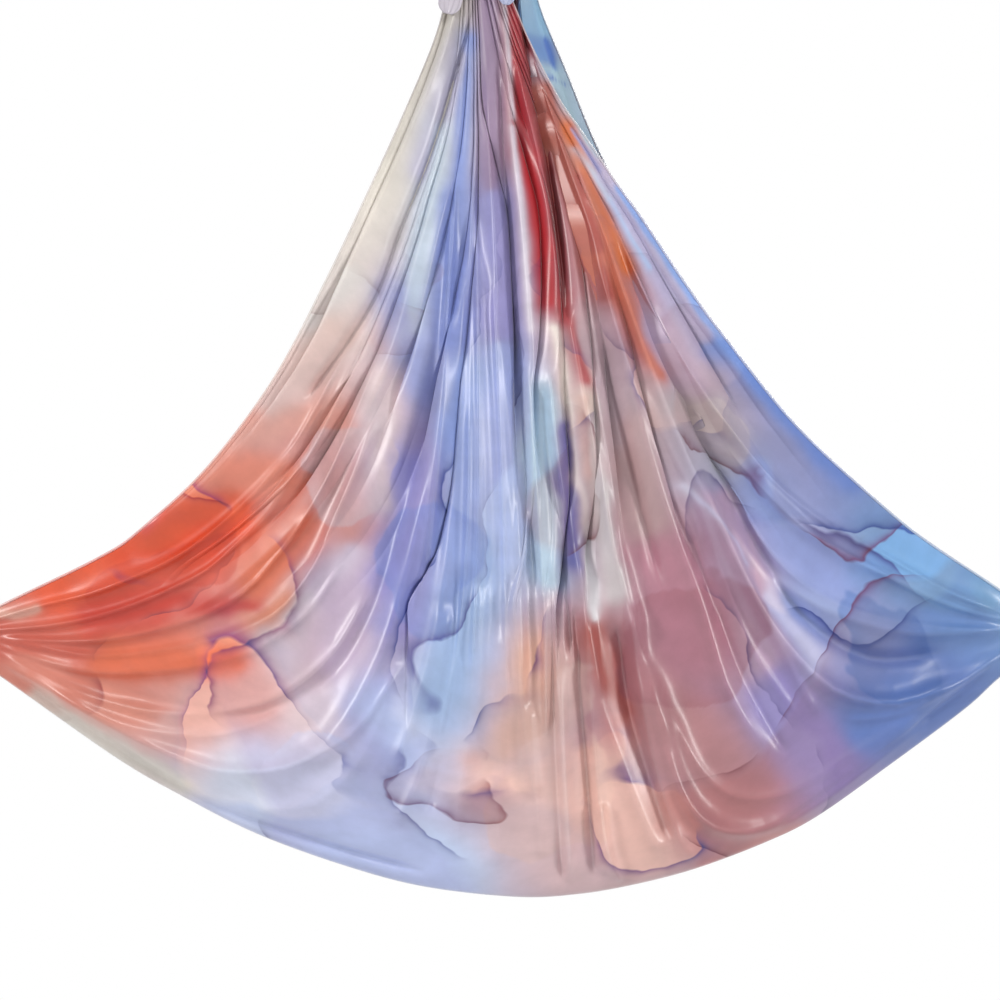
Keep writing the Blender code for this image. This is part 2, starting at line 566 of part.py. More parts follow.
def relief(x, z, lines):
    """Height of the folds above the plain surface at one place."""
    depth_share = (gather_level - z) / CLOTH_DROP
    reach = RIDGE_REACH * fan(depth_share)
    total = 0
    for height, line in lines:
        start, step = line[:-1], np.diff(line, axis=0)
        offset = np.array((x, z)) - start
        along = np.clip((offset * step).sum(1) / (step ** 2).sum(1), 0, 1)
        apart = np.hypot(*(offset - along[:, None] * step).T)
        nearest = int(apart.argmin())
        run = (nearest + along[nearest]) / len(step)
        fade = min(1, run / FOLD_FADE_SHARE, (1 - run) / FOLD_FADE_SHARE)
        total += FOLD_DEPTH_SHARE * height * fade * math.exp(-apart[nearest] / reach)
    return total * min(1, 0.4 + fan(depth_share))


def panel_heights(x, z, lines, bottom_line, tips):
    """Distances from the middle plane of the part's inner and outer faces at one place."""
    depth_share = max(0, (gather_level - z) / CLOTH_DROP)
    drop_left = max(0, 1 - depth_share / FULL_FAN_SHARE)
    thickness = CLOTH_THICKNESS + (GATHER_THICKNESS - CLOTH_THICKNESS) * drop_left ** 2
    above_fold = np.hypot(*(bottom_line - (x, z)).T).min()
    from_tip = min(math.hypot(x - tip[0], z - tip[1]) for tip in tips)
    billow = (1 - math.exp(-above_fold / FOLD_RADIUS)) * (1 - math.exp(-from_tip / CORNER_FLATTENING))
    opening = math.sin(math.pi / 2 * min(1, depth_share / FULL_FAN_SHARE)) ** 0.6
    base = POCKET_HALF_DEPTH * billow * opening
    height = base + relief(x, z, lines) * billow ** 0.5
    inner = max(GAP / 2, height)
    return inner, max(inner, height) + thickness


def between(one, other):
    """The line midway between two neighbouring crests, or nothing where they end far apart."""
    count = min(len(one), len(other))
    picked = [(one[round(k * (len(one) - 1) / count)], other[round(k * (len(other) - 1) / count)]) for k in range(count)]
    return [(a + b) / 2 for a, b in picked if (a - b).length < VALLEY_REACH]


def inside(corners, place):
    """Whether a place lies within a closed outline."""
    x, z = place
    crossings = 0
    for (ax, az), (bx, bz) in zip(corners, corners[1:] + corners[:1]):
        if (az > z) != (bz > z) and x < ax + (z - az) / (bz - az) * (bx - ax):
            crossings += 1
    return crossings % 2 == 1


def make_panel(name, face_y, outline_shares, folds, parent, look):
    """One half of the sheet: triangulated along its folds, thin and closed; face_y is -1 for the front."""
    outline = [Vector(p) for line in outline_shares for p in
               smooth_line([(*hung(s), 0) for s in line], OUTLINE_STEP)[:-1]]
    corners = [(p.x, p.y) for p in outline]
    rim = list(corners)
    edges = []
    taken = np.array(corners)
    crests = [smooth_line([(*hung(s), 0) for s in line], RIDGE_STEP) for _, line in folds]
    valleys = [between(one, other) for one, other in zip(crests, crests[1:])]
    for run_of_points in crests + valleys:
        run = []
        for point in run_of_points:
            here = np.array((point.x, point.y))
            if np.hypot(*(taken - here).T).min() > NEAREST_SHARE * RIDGE_STEP and inside(rim, here):
                corners.append(tuple(here))
                run.append(len(corners) - 1)
                taken = np.vstack((taken, here))
            else:
                edges += list(zip(run, run[1:]))
                run = []
        edges += list(zip(run, run[1:]))
    low, high = taken.min(0), taken.max(0)
    row = 0
    z = low[1]
    while z < high[1]:
        x = low[0] + FILL_STEP / 2 * (row % 2)
        while x < high[0]:
            here = np.array((x, z))
            if np.hypot(*(taken - here).T).min() > FILL_STEP * 0.55 and inside(rim, here):
                corners.append((x, z))
                taken = np.vstack((taken, here))
            x += FILL_STEP
        z += FILL_STEP * 0.8
        row += 1
    border = list(zip(range(len(rim)), [*range(1, len(rim)), 0]))
    points = [Vector(corner) for corner in corners]
    flat, _, faces, *_ = delaunay_2d_cdt(points, border + edges, [], 0, 1e-6, False)
    faces = [face for face in faces if inside(rim, sum((flat[i] for i in face), Vector((0, 0))) / len(face))]

    lines = fold_lines(folds)
    bottom_line = np.array([hung(p) for p in smooth_line([(*s, 0) for s in BOTTOM_SHARES], 0.01)])
    tips = [hung(LEFT_CORNER_SHARES[2]), hung(RIGHT_CORNER_SHARES[2])]
    shape = bmesh.new()
    inner, outer = [], []
    for x, z in flat:
        near, far = panel_heights(x, z, lines, bottom_line, tips)
        inner.append(shape.verts.new((x, face_y * near, z)))
        outer.append(shape.verts.new((x, face_y * far, z)))
    for face in faces:
        shape.faces.new([outer[i] for i in face])
        shape.faces.new([inner[i] for i in reversed(face)])
    rims = {}
    for face in faces:
        for a, b in zip(face, face[1:] + face[:1]):
            rims[(a, b)] = (b, a) not in rims
            if (b, a) in rims:
                rims[(b, a)] = False
    for (a, b), open_edge in rims.items():
        if open_edge:
            shape.faces.new((outer[b], outer[a], inner[a], inner[b]))
    bmesh.ops.triangulate(shape, faces=shape.faces)
    print(name, len(flat), "points", len(shape.faces), "triangles")
    mesh = mesh_of(name, shape)
    link_object(name, mesh, look, parent.empty, -parent.location_from_top)


class Hanger:
    """An empty with its place from the origin, for parts that are drawn in the whole part's frame."""

    def __init__(self, empty, location_from_top):
        self.empty = empty
        self.location_from_top = location_from_top


def main():
    clear_scene()
    looks = {
        "steel": material("brushed_steel", (0.55, 0.56, 0.58), 0.32, 1.0),
        "zinc": material("zinc_plate", (0.62, 0.62, 0.60), 0.42, 1.0),
        "dark": material("dark_sleeve", (0.05, 0.05, 0.06), 0.45, 0.6),
        "cloth": material("printed_tricot", (0.62, 0.60, 0.74), 0.38, 0.0),
    }
    make_ceiling_plate(looks["steel"], looks["zinc"])
    parts = carabiner_meshes()

    top_pivot = pivot("top_carabiner_pivot", (0, 0, eye_rod_level))
    top_frame = pivot("top_carabiner_frame", (0, 0, top_link_level - eye_rod_level), top_pivot)
    make_carabiner("top_carabiner", parts, looks, top_frame, 1)
    swing_pivot = pivot("swivel_pivot", (0, 0, top_link_foot - eye_rod_level), top_pivot)
    turn_pivot = pivot("swivel_turn_pivot", (0, 0, 0), swing_pivot)
    make_swivel(looks, swing_pivot, turn_pivot)

    hammock_pivot = pivot("hammock_pivot", (0, 0, lower_rod_level - top_link_foot), turn_pivot)
    hanger = Hanger(hammock_pivot, Vector((0, 0, lower_rod_level)))
    for side, tail_share, tail_half in ((-1, (0.448, 0.017), TAIL_HALF_WIDTH), (1, (0.506, 0.008), TAIL_HALF_WIDTH * 0.75)):
        name = "left" if side < 0 else "right"
        place = (side * LOWER_LINK_SPACING / 2, 0, lower_link_level - lower_rod_level)
        frame = pivot(f"{name}_carabiner_frame", place, hammock_pivot, -side * splay)
        make_carabiner(f"{name}_carabiner", parts, looks, frame, side)
        knot_place = make_knot(side, frame, looks["cloth"])
        make_tail(f"{name}_tail", knot_place, tail_share, tail_half, hanger, looks["cloth"])

    left_down = LEFT_SELVEDGE_SHARES
    right_up = list(reversed(RIGHT_SELVEDGE_SHARES))
    corners = [LEFT_CORNER_SHARES + [BOTTOM_SHARES[0]], BOTTOM_SHARES, RIGHT_CORNER_SHARES + [(1.000, 0.587)]]
    front_top = [list(reversed(FRONT_INNER_EDGE_SHARES)), [FRONT_INNER_EDGE_SHARES[0], LEFT_SELVEDGE_SHARES[0]]]
    back_top = [right_up, [RIGHT_SELVEDGE_SHARES[0], BACK_INNER_EDGE_SHARES[0]]]
    make_panel("front_panel", -1, [left_down, *corners, *front_top], FRONT_FOLDS, hanger, looks["cloth"])
    make_panel("back_panel", 1, [BACK_INNER_EDGE_SHARES, *corners, *back_top], BACK_FOLDS, hanger, looks["cloth"])
    print("levels", {k: round(v, 5) for k, v in {
        "eye_rod": eye_rod_level, "top_link_foot": top_link_foot, "lower_rod": lower_rod_level,
        "gather": gather_level, "bottom": gather_level - CLOTH_DROP}.items()})


main()
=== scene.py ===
import json
import math

import bmesh
import bpy
import numpy as np
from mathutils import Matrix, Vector


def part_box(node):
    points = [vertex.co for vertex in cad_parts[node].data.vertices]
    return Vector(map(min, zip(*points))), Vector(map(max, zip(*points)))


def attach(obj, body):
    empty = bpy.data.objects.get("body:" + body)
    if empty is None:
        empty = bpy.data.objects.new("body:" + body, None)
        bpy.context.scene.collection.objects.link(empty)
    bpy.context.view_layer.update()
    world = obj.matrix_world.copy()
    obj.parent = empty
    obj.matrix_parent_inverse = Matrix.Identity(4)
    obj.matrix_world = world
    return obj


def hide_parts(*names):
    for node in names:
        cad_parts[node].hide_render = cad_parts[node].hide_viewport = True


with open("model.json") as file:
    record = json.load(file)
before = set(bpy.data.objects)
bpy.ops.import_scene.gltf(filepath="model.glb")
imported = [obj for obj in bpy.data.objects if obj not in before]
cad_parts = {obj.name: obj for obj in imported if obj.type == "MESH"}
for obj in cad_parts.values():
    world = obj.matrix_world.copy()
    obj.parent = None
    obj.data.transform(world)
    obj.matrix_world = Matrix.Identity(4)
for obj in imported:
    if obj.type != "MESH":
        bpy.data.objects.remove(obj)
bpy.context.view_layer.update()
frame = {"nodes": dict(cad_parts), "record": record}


# Camera: square to the spread cloth, level with the middle of the drape.
# It stands 4.4 m before the cloth, so 2.27 m of it fills the picture.
def add(name, data):
    """A new object in the scene."""
    made = bpy.data.objects.new(name, data)
    bpy.context.scene.collection.objects.link(made)
    return made


camera = add("camera", bpy.data.cameras.new("camera"))
camera.location = (0.0113, -4.46, -1.7208)
camera.rotation_euler = (math.radians(90), 0, 0)
camera.data.lens = 70
camera.data.sensor_width = 36
camera.data.clip_end = 60
bpy.context.scene.camera = camera


# Steel: the ceiling plate, carabiners and swivel are brushed steel with fine scratches, duller where worn.
# Four zinc bolts fix the plate, the other parts hang eye in eye below it, and the screw sleeves are
# anodised black.
def paint(code):
    """Linear colour of a six-digit hex code."""
    parts = [int(code[i:i + 2], 16) / 255 for i in (0, 2, 4)]
    return [c / 12.92 if c <= 0.04045 else ((c + 0.055) / 1.055) ** 2.4 for c in parts]


def new_group(name, inputs, outputs):
    group = bpy.data.node_groups.new(name, "ShaderNodeTree")
    for label, kind, value in inputs:
        socket = group.interface.new_socket(label, in_out="INPUT", socket_type=f"NodeSocket{kind}")
        if value is not None:
            socket.default_value = value
    for label, kind in outputs:
        group.interface.new_socket(label, in_out="OUTPUT", socket_type=f"NodeSocket{kind}")
    start = group.nodes.new("NodeGroupInput")
    end = group.nodes.new("NodeGroupOutput")
    return group, start, end


def new_material(name):
    made = bpy.data.materials.new(name)
    made.use_nodes = True
    return made, made.node_tree, made.node_tree.nodes["Principled BSDF"]


def fill(node, **sockets):
    """Gives sockets their values or links. A name has underscores for spaces, or is i and a number."""
    for key, value in sockets.items():
        numbered = key[0] == "i" and key[1:].isdigit()
        target = node.inputs[int(key[1:]) if numbered else key.replace("_", " ")]
        if isinstance(value, bpy.types.NodeSocket):
            node.id_data.links.new(value, target)
        else:
            target.default_value = value
    return node


def put(tree, kind, settings=None, **sockets):
    """A new node with its settings and sockets."""
    node = tree.nodes.new(f"ShaderNode{kind}")
    for key, value in (settings or {}).items():
        setattr(node, key, value)
    return fill(node, **sockets)


def maths(tree, operation, a, b=0.0, clamp=False):
    return put(tree, "Math", {"operation": operation, "use_clamp": clamp}, i0=a, i1=b).outputs[0]


def mixed(tree, factor, a, b, mode="MIX"):
    a, b = (value if isinstance(value, bpy.types.NodeSocket) else (*value, 1) for value in (a, b))
    settings = {"data_type": "RGBA", "blend_type": mode}
    return put(tree, "Mix", settings, i0=factor, i6=a, i7=b).outputs[2]


scratches, start, end = new_group(
    "metal_scratches", [("Scale", "Float", 60.0)], [("Scratch", "Float"), ("Wear", "Float")])
place = put(scratches, "TexCoord").outputs["Object"]
long_way = put(scratches, "Mapping", Vector=place, Scale=(9, 9, 1)).outputs[0]
fine = put(scratches, "TexNoise", Vector=long_way, Scale=start.outputs["Scale"], Detail=4)
coarse = put(scratches, "TexNoise", Vector=place, Scale=35, Detail=5, Roughness=0.6).outputs[0]
worn = put(scratches, "MapRange", Value=coarse, From_Min=0.42, From_Max=0.68).outputs[0]
fill(end, Scratch=fine.outputs[0], Wear=worn)


def metal(name, bright, dull, smooth, rough, metallic, scale, bump):
    made, tree, shader = new_material(name)
    marks = put(tree, "Group", {"node_tree": scratches}, Scale=scale)
    rub = maths(tree, "MULTIPLY_ADD", marks.outputs["Scratch"], rough - smooth)
    fill(rub.node, i2=smooth)
    lift = put(tree, "Bump", Strength=bump, Distance=0.0004, Height=marks.outputs["Scratch"])
    fill(shader, Base_Color=mixed(tree, marks.outputs["Wear"], paint(bright), paint(dull)),
         Roughness=rub, Metallic=metallic, Normal=lift.outputs[0])
    return made


finishes = {
    "steel": metal("brushed_steel", "AEB1B6", "85888D",
                   smooth=0.20, rough=0.46, metallic=1.0, scale=70, bump=0.25),
    "zinc": metal("zinc_plate", "ACADA5", "8A8B82",
                  smooth=0.28, rough=0.60, metallic=1.0, scale=40, bump=0.35),
    "sleeve": metal("black_anodised", "23242A", "3A3B42",
                    smooth=0.30, rough=0.52, metallic=0.55, scale=90, bump=0.20),
}

# rods and turned parts are round: their facets are shaded as one surface, and only real edges stay sharp
sharp_edge = math.radians(48)
same_place = 1e-6
slots = {part["node"]: part["material_slot"] for part in frame["record"]["subparts"]}
bodies = frame["record"]["behaviour"]["bodies"]
carried_by = {part: body for body, parts in bodies.items() for part in parts}
for node_name in [n for n in slots if slots[n] in finishes]:
    work = bmesh.new()
    work.from_mesh(frame["nodes"][node_name].data)
    bmesh.ops.remove_doubles(work, verts=work.verts, dist=same_place)
    for edge in work.edges:
        edge.smooth = len(edge.link_faces) == 2 and edge.calc_face_angle() < sharp_edge
    for face in work.faces:
        face.smooth = True
    rounded = add(f"{node_name}_rounded", bpy.data.meshes.new(f"{node_name}_rounded"))
    work.to_mesh(rounded.data)
    work.free()
    rounded.data.materials.append(finishes[slots[node_name]])
    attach(rounded, carried_by[node_name])
    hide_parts(node_name)


# Sling cloth: one 2.8 m wide sheet of glossy stretch tricot, hung double from its two gathered ends.
# Its lower corners are drawn out sideways, so it fans out in deep pleats that run down and out,
# and swags hang from corner to corner.

# places are shares of the square picture, x right and y down, and the tables give them in thousandths
middle_x = 0.495
gather_y = -0.09
spread_share, drop_share = 1.173, 0.991
share_size = 2.66 / spread_share
drop_size = 2.25 / drop_share
gather_z = -0.38125


def hung(points):
    """Shares of the picture as metres in the plane of the cloth."""
    points = np.asarray(points, float)
    across = (points[..., 0] - middle_x) * share_size
    return np.stack([across, gather_z - (points[..., 1] - gather_y) * drop_size], -1)


def curve(p, count):
    """Evenly spaced points on the smooth curve through the given ones."""
    ends = np.vstack([2 * p[0] - p[1], p, 2 * p[-1] - p[-2]])
    parts_between = 12
    t = np.linspace(0, 1, parts_between, endpoint=False)[:, None]
    pieces = []
    for a, b, c, d in zip(ends, ends[1:], ends[2:], ends[3:]):
        square, cube = 2 * a - 5 * b + 4 * c - d, 3 * b - a - 3 * c + d
        pieces.append((2 * b + (c - a) * t + square * t ** 2 + cube * t ** 3) / 2)
    line = np.vstack([*pieces, p[-1:]])
    run = np.concatenate([[0], np.cumsum(np.hypot(*np.diff(line, axis=0).T[:2]))])
    at = np.linspace(0, run[-1], count)
    return np.stack([np.interp(at, run, line[:, k]) for k in range(line.shape[1])], -1)


def ramp(low, high, value):
    """From 0 at low to 1 at high, level at both ends."""
    t = np.clip((value - low) / (high - low), 0, 1)
    return t * t * (3 - 2 * t)


def ripple(x, y, size, seed, octaves):
    """Smooth seeded unevenness from -1 to 1: four waves an octave, each octave 1.9 times finer."""
    rng = np.random.default_rng(seed)
    waves, finer, tallest = 4, 1.9, 5.5
    total = np.zeros(np.broadcast(x, y).shape)
    for octave in range(octaves):
        for _ in range(waves):
            turn, phase = rng.uniform(0, math.tau, 2)
            wave = math.tau / size * finer ** octave * rng.uniform(0.7, 1.3)
            total += np.sin(wave * (x * math.cos(turn) + y * math.sin(turn)) + phase) / finer ** octave
    return total / tallest


# The free edges of both halves, from the gather to a drawn-out corner, and the bottom fold
left_corner = (-0.053, 0.638)
right_corner = (1.047, 0.631)
front_left = np.divide([
    (463, -90), (456, -45), (446, 0), (432, 48), (400, 125), (366, 200), (330, 276), (275, 380), (207, 470),
    (140, 531), (94, 560), (0, 605), (-38, 625), (-53, 638),
], 1000)
back_right = np.divide([
    (527, -90), (531, -45), (542, 0), (568, 62), (595, 128), (623, 184), (662, 247), (730, 342), (812, 440),
    (890, 509), (934, 544), (1000, 587), (1033, 612), (1047, 631),
], 1000)
front_right = np.divide([
    (482, -90), (496, -45), (512, 0), (536, 56), (562, 105), (581, 132), (600, 160), (615, 183), (643, 222),
    (682, 281), (722, 336), (796, 427), (887, 510), (934, 546), (1000, 589), (1033, 614), (1047, 631),
], 1000)
back_left = np.divide([
    (508, -90), (496, -45), (480, 0), (458, 56), (436, 105), (410, 160), (380, 222), (348, 281), (306, 340),
    (211, 473), (140, 534), (94, 563), (0, 608), (-38, 627), (-53, 638),
], 1000)
bottom = np.divide([
    (-53, 638), (-38, 656), (0, 682), (111, 760), (180, 800), (256, 838), (348, 871), (426, 891), (518, 901),
    (580, 898), (638, 888), (699, 872), (768, 846), (820, 820), (895, 767), (969, 712), (1000, 684),
    (1033, 655), (1047, 631),
], 1000)

# Each fold: height in millimetres (less than zero is a groove), half width in millimetres, line
front_folds = [
    (20, 22, [(463, -20), (448, 40), (424, 100), (389, 180), (352, 260), (314, 340), (262, 420),
     (200, 490), (120, 550)]),
    (-16, 8, [(473, 0), (464, 43), (442, 120), (424, 173), (401, 230), (378, 293), (343, 350), (302, 410)]),
    (9, 14, [(474, 20), (455, 97), (436, 158), (418, 209), (393, 275), (359, 357), (320, 425), (272, 482),
     (221, 530), (150, 570), (60, 598)]),
    (8, 13, [(457, 120), (432, 204), (414, 263), (399, 332), (374, 400), (339, 456), (301, 520),
     (247, 575), (194, 610), (127, 634), (50, 641)]),
    (12, 14, [(465, 140), (440, 230), (425, 300), (405, 380), (370, 440), (340, 515), (316, 564),
     (270, 620), (200, 655), (110, 667), (30, 652)]),
    (22, 20, [(455, 250), (448, 330), (441, 400), (434, 441), (418, 518), (400, 600), (373, 670),
     (330, 738), (270, 770), (200, 766), (120, 725), (30, 675)]),
    (-10, 12, [(447, 260), (436, 360), (424, 440), (402, 520), (375, 600), (335, 670), (270, 710),
     (190, 710), (100, 685)]),
    (12, 13, [(463, 250), (461, 380), (450, 530), (438, 620), (415, 710), (385, 790)]),
    (9, 10, [(470, 160), (471, 300), (470, 450), (466, 580), (452, 700), (432, 790)]),
    (11, 12, [(478, 250), (483, 400), (485, 530), (482, 640), (475, 760)]),
    (12, 11, [(487, 60), (490, 160), (503, 400), (512, 540), (519, 620), (520, 720)]),
    (-15, 7, [(498, 60), (504, 160), (512, 260), (519, 380), (530, 530), (536, 600)]),
    (18, 15, [(503, 0), (508, 90), (516, 170), (524, 250), (532, 340), (538, 420), (546, 520), (553, 620),
     (558, 720), (560, 820), (566, 885)]),
    (-22, 9, [(519, 15), (534, 76), (542, 128), (554, 204), (562, 268), (568, 330)]),
    (-15, 8, [(542, 380), (547, 441), (560, 518), (566, 579), (572, 660)]),
    (19, 12, [(509, 33), (531, 128), (547, 199), (556, 250), (570, 330), (581, 385), (597, 464),
     (610, 533), (624, 594), (636, 660)]),
    (-12, 9, [(530, 60), (545, 110), (566, 190), (588, 270), (603, 350), (618, 420), (640, 510), (665, 600)]),
    (15, 14, [(526, 38), (549, 110), (575, 190), (600, 268), (618, 340), (640, 420), (668, 510),
     (700, 600), (728, 690), (770, 760)]),
    (26, 13, [(572, 160), (597, 222), (625, 300), (648, 365), (679, 444), (705, 499), (736, 561),
     (766, 615), (799, 659), (840, 692), (900, 700), (980, 668)]),
    (-20, 12, [(612, 235), (645, 315), (672, 375), (705, 444), (730, 495), (762, 556), (793, 602),
     (830, 638), (880, 660), (960, 652)]),
    (13, 13, [(650, 300), (689, 380), (733, 437), (774, 496), (830, 550), (880, 572), (950, 595),
     (1020, 612)]),
    (12, 11, [(719, 505), (751, 553), (790, 590), (850, 618), (920, 633), (1010, 630)]),
    (15, 15, [(575, 540), (590, 630), (600, 700), (617, 750), (640, 810), (668, 866)]),
    (12, 14, [(640, 640), (662, 700), (674, 760), (692, 805), (722, 828), (770, 828), (830, 795),
     (905, 732), (1010, 650)]),
    (8, 10, [(666, 700), (700, 768), (740, 796), (790, 790), (850, 755), (930, 705)]),
    (8, 5, [(352, 340), (301, 437), (270, 475), (224, 521), (179, 556), (127, 580), (89, 594), (38, 606),
     (-42, 630)]),
    (9, 5, [(366, 340), (316, 447), (293, 478), (267, 512), (226, 553), (195, 577), (127, 607), (64, 623),
     (0, 630), (-45, 634)]),
    (8, 5, [(386, 340), (339, 456), (324, 487), (301, 527), (278, 556), (247, 590), (200, 617), (127, 636),
     (64, 641), (-20, 636)]),
    (8, 6, [(385, 390), (359, 460), (336, 515), (316, 564), (285, 605), (245, 628), (200, 642), (153, 651),
     (102, 655), (51, 649), (-20, 637)]),
    (7, 6, [(350, 550), (310, 610), (260, 648), (200, 665), (153, 671), (102, 672), (51, 663), (-20, 640)]),
    (9, 8, [(375, 580), (335, 650), (280, 695), (220, 712), (166, 712), (127, 706), (76, 689), (-20, 646)]),
    (9, 8, [(410, 650), (360, 725), (300, 760), (230, 768), (179, 754), (127, 732), (76, 705), (-20, 652)]),
    (8, 6, [(604, 200), (640, 285), (680, 360), (725, 425), (770, 478), (820, 520), (880, 553), (950, 592),
     (1030, 624)]),
    (7, 6, [(660, 370), (705, 425), (752, 480), (800, 527), (860, 562), (940, 602), (1030, 627)]),
    (7, 7, [(735, 500), (778, 560), (826, 598), (880, 617), (950, 628), (1035, 631)]),
    (8, 8, [(840, 720), (900, 712), (960, 682), (1030, 640)]),
    (7, 6, [(585, 230), (612, 320), (640, 400), (672, 480), (700, 550), (722, 620)]),
    (6, 5, [(458, 160), (450, 300), (440, 420), (428, 520), (412, 620)]),
    (6, 5, [(500, 330), (512, 440), (520, 560), (524, 680)]),
    (6, 5, [(470, 400), (468, 520), (458, 640), (440, 740)]),
    (8, 9, [(0, 662), (38, 680), (76, 700), (127, 722), (190, 735), (250, 725), (300, 700)]),
    (-15, 6, [(0, 668), (38, 697), (83, 727), (128, 757), (199, 800), (270, 828), (348, 853), (430, 874)]),
    (-11, 6, [(1000, 662), (962, 692), (900, 738), (840, 782), (775, 826)]),
    (7, 9, [(582, 380), (597, 464), (612, 533), (628, 600), (650, 680), (672, 750)]),
    (8, 9, [(638, 380), (667, 446), (698, 507), (724, 580), (752, 650), (800, 720)]),
    (6, 8, [(545, 380), (556, 450), (570, 520), (588, 620), (602, 700)]),
    (6, 9, [(500, 620), (502, 720), (500, 800), (497, 870)]),
    (7, 10, [(530, 700), (536, 780), (542, 860)]),
    (7, 14, [(400, 660), (372, 740), (320, 800), (250, 810)]),
    (15, 10, [(556, 580), (560, 700), (566, 800), (571, 885)]),
    (-15, 7, [(550, 560), (554, 690), (558, 800), (564, 892)]),
    (11, 10, [(512, 580), (522, 700), (534, 800)]),
    (8, 5, [(452, 200), (446, 340), (440, 460), (428, 580)]),
    (9, 5, [(476, 200), (478, 360), (478, 520), (472, 680)]),
    (8, 5, [(493, 280), (500, 440), (505, 580), (507, 720)]),
    (9, 5, [(527, 360), (536, 480), (543, 600), (546, 740)]),
    (8, 5, [(548, 360), (557, 460), (568, 580), (576, 680)]),
    (9, 5, [(590, 360), (606, 450), (622, 540), (640, 630)]),
    (13, 10, [(584, 600), (592, 720), (602, 820), (614, 885)]),
    (-12, 7, [(574, 600), (581, 700), (589, 800), (595, 885)]),
    (17, 12, [(630, 600), (640, 690), (655, 770), (677, 832), (700, 868)]),
    (-14, 9, [(616, 620), (630, 710), (648, 770), (670, 842)]),
    (10, 6, [(600, 800), (606, 845), (622, 885)]),
    (16, 14, [(640, 660), (672, 772), (702, 818), (740, 830), (782, 818), (850, 775), (930, 715)]),
    (9, 12, [(450, 600), (430, 740), (395, 830)]),
    (9, 12, [(478, 580), (470, 720), (455, 850)]),
    (-8, 9, [(462, 560), (450, 700), (428, 820)]),
    (8, 9, [(700, 470), (735, 560), (775, 640), (820, 720)]),
    (-9, 8, [(688, 520), (715, 600), (745, 680), (790, 760)]),
]
back_folds = [
    (18, 20, [(505, 20), (470, 140), (420, 270), (350, 390), (250, 490), (130, 570)]),
    (-14, 10, [(508, 50), (476, 200), (426, 340), (352, 460), (240, 560), (120, 600)]),
    (15, 14, [(510, 80), (480, 250), (430, 400), (350, 530), (230, 620), (60, 640)]),
    (20, 20, [(512, 120), (495, 330), (460, 530), (400, 680), (300, 760), (150, 720)]),
    (14, 14, [(514, 40), (508, 300), (490, 550), (460, 800)]),
    (-14, 9, [(517, 40), (520, 300), (514, 550), (500, 780)]),
    (17, 15, [(519, 20), (530, 280), (540, 550), (545, 840)]),
    (14, 14, [(523, 60), (560, 280), (595, 500), (640, 700), (690, 820)]),
    (22, 15, [(528, 20), (575, 200), (630, 370), (700, 540), (790, 660), (940, 670)]),
    (-16, 10, [(534, 30), (584, 190), (646, 340), (726, 480), (822, 600), (950, 640)]),
    (12, 10, [(540, 40), (590, 170), (660, 310), (750, 430), (860, 540), (960, 600)]),
]

# Share of the way across the cloth at which each tuck lies, at four heights down the picture
tuck_heights = (0.1, 0.2, 0.38, 0.55)
front_tucks = [
    (0.06, 0.04, 0.02, 0.01), (0.265, 0.21, 0.15, 0.085), (0.295, 0.24, 0.185, 0.14),
    (0.37, 0.33, 0.255, 0.225), (0.425, 0.4, 0.33, 0.31), (0.45, 0.428, 0.385, 0.39),
    (0.475, 0.535, 0.5, 0.48), (0.655, 0.655, 0.54, 0.515), (0.715, 0.7, 0.6, 0.545),
    (0.82, 0.775, 0.66, 0.575), (0.845, 0.8, 0.69, 0.62), (0.88, 0.845, 0.755, 0.7), (0.925, 0.9, 0.857, 0.8),
    (0.97, 0.955, 0.94, 0.89),
]
back_tucks = [(0.845 * t, 0.85 * t, 0.86 * t, 0.88 * t) for t in np.linspace(0.06, 1.0, 14)]


def to_line(spots, line):
    """Each spot's distance to a line, and how far along it the nearest point lies, from 0 to 1."""
    best, along = np.full(len(spots), 1e9), np.zeros(len(spots))
    for k in range(len(line) - 1):
        a, d = line[k], line[k + 1] - line[k]
        t = np.clip(((spots - a) @ d) / (d @ d), 0, 1)
        gap = np.hypot(*(spots - a - t[:, None] * d).T)
        along = np.where(gap < best, (k + t) / (len(line) - 1), along)
        best = np.minimum(best, gap)
    return best, along


def nearness(points, line, reach):
    """How near each point lies to a line, from 1 on its rounded crest down to 0, faded at its ends."""
    found = np.zeros(len(points))
    # five reaches away, the crest's height is below 1%
    margin = 5 * reach.max()
    low, high = line.min(0) - margin, line.max(0) + margin
    chosen = np.flatnonzero(((points > low) & (points < high)).all(1))
    gap, along = to_line(points[chosen], line)
    reach = reach[chosen]
    rounding = 0.7 * reach
    fade = ramp(0, 0.10, along) * ramp(1, 0.92, along)
    found[chosen] = fade * np.exp(-(np.hypot(gap, rounding) - rounding) / reach)
    return found


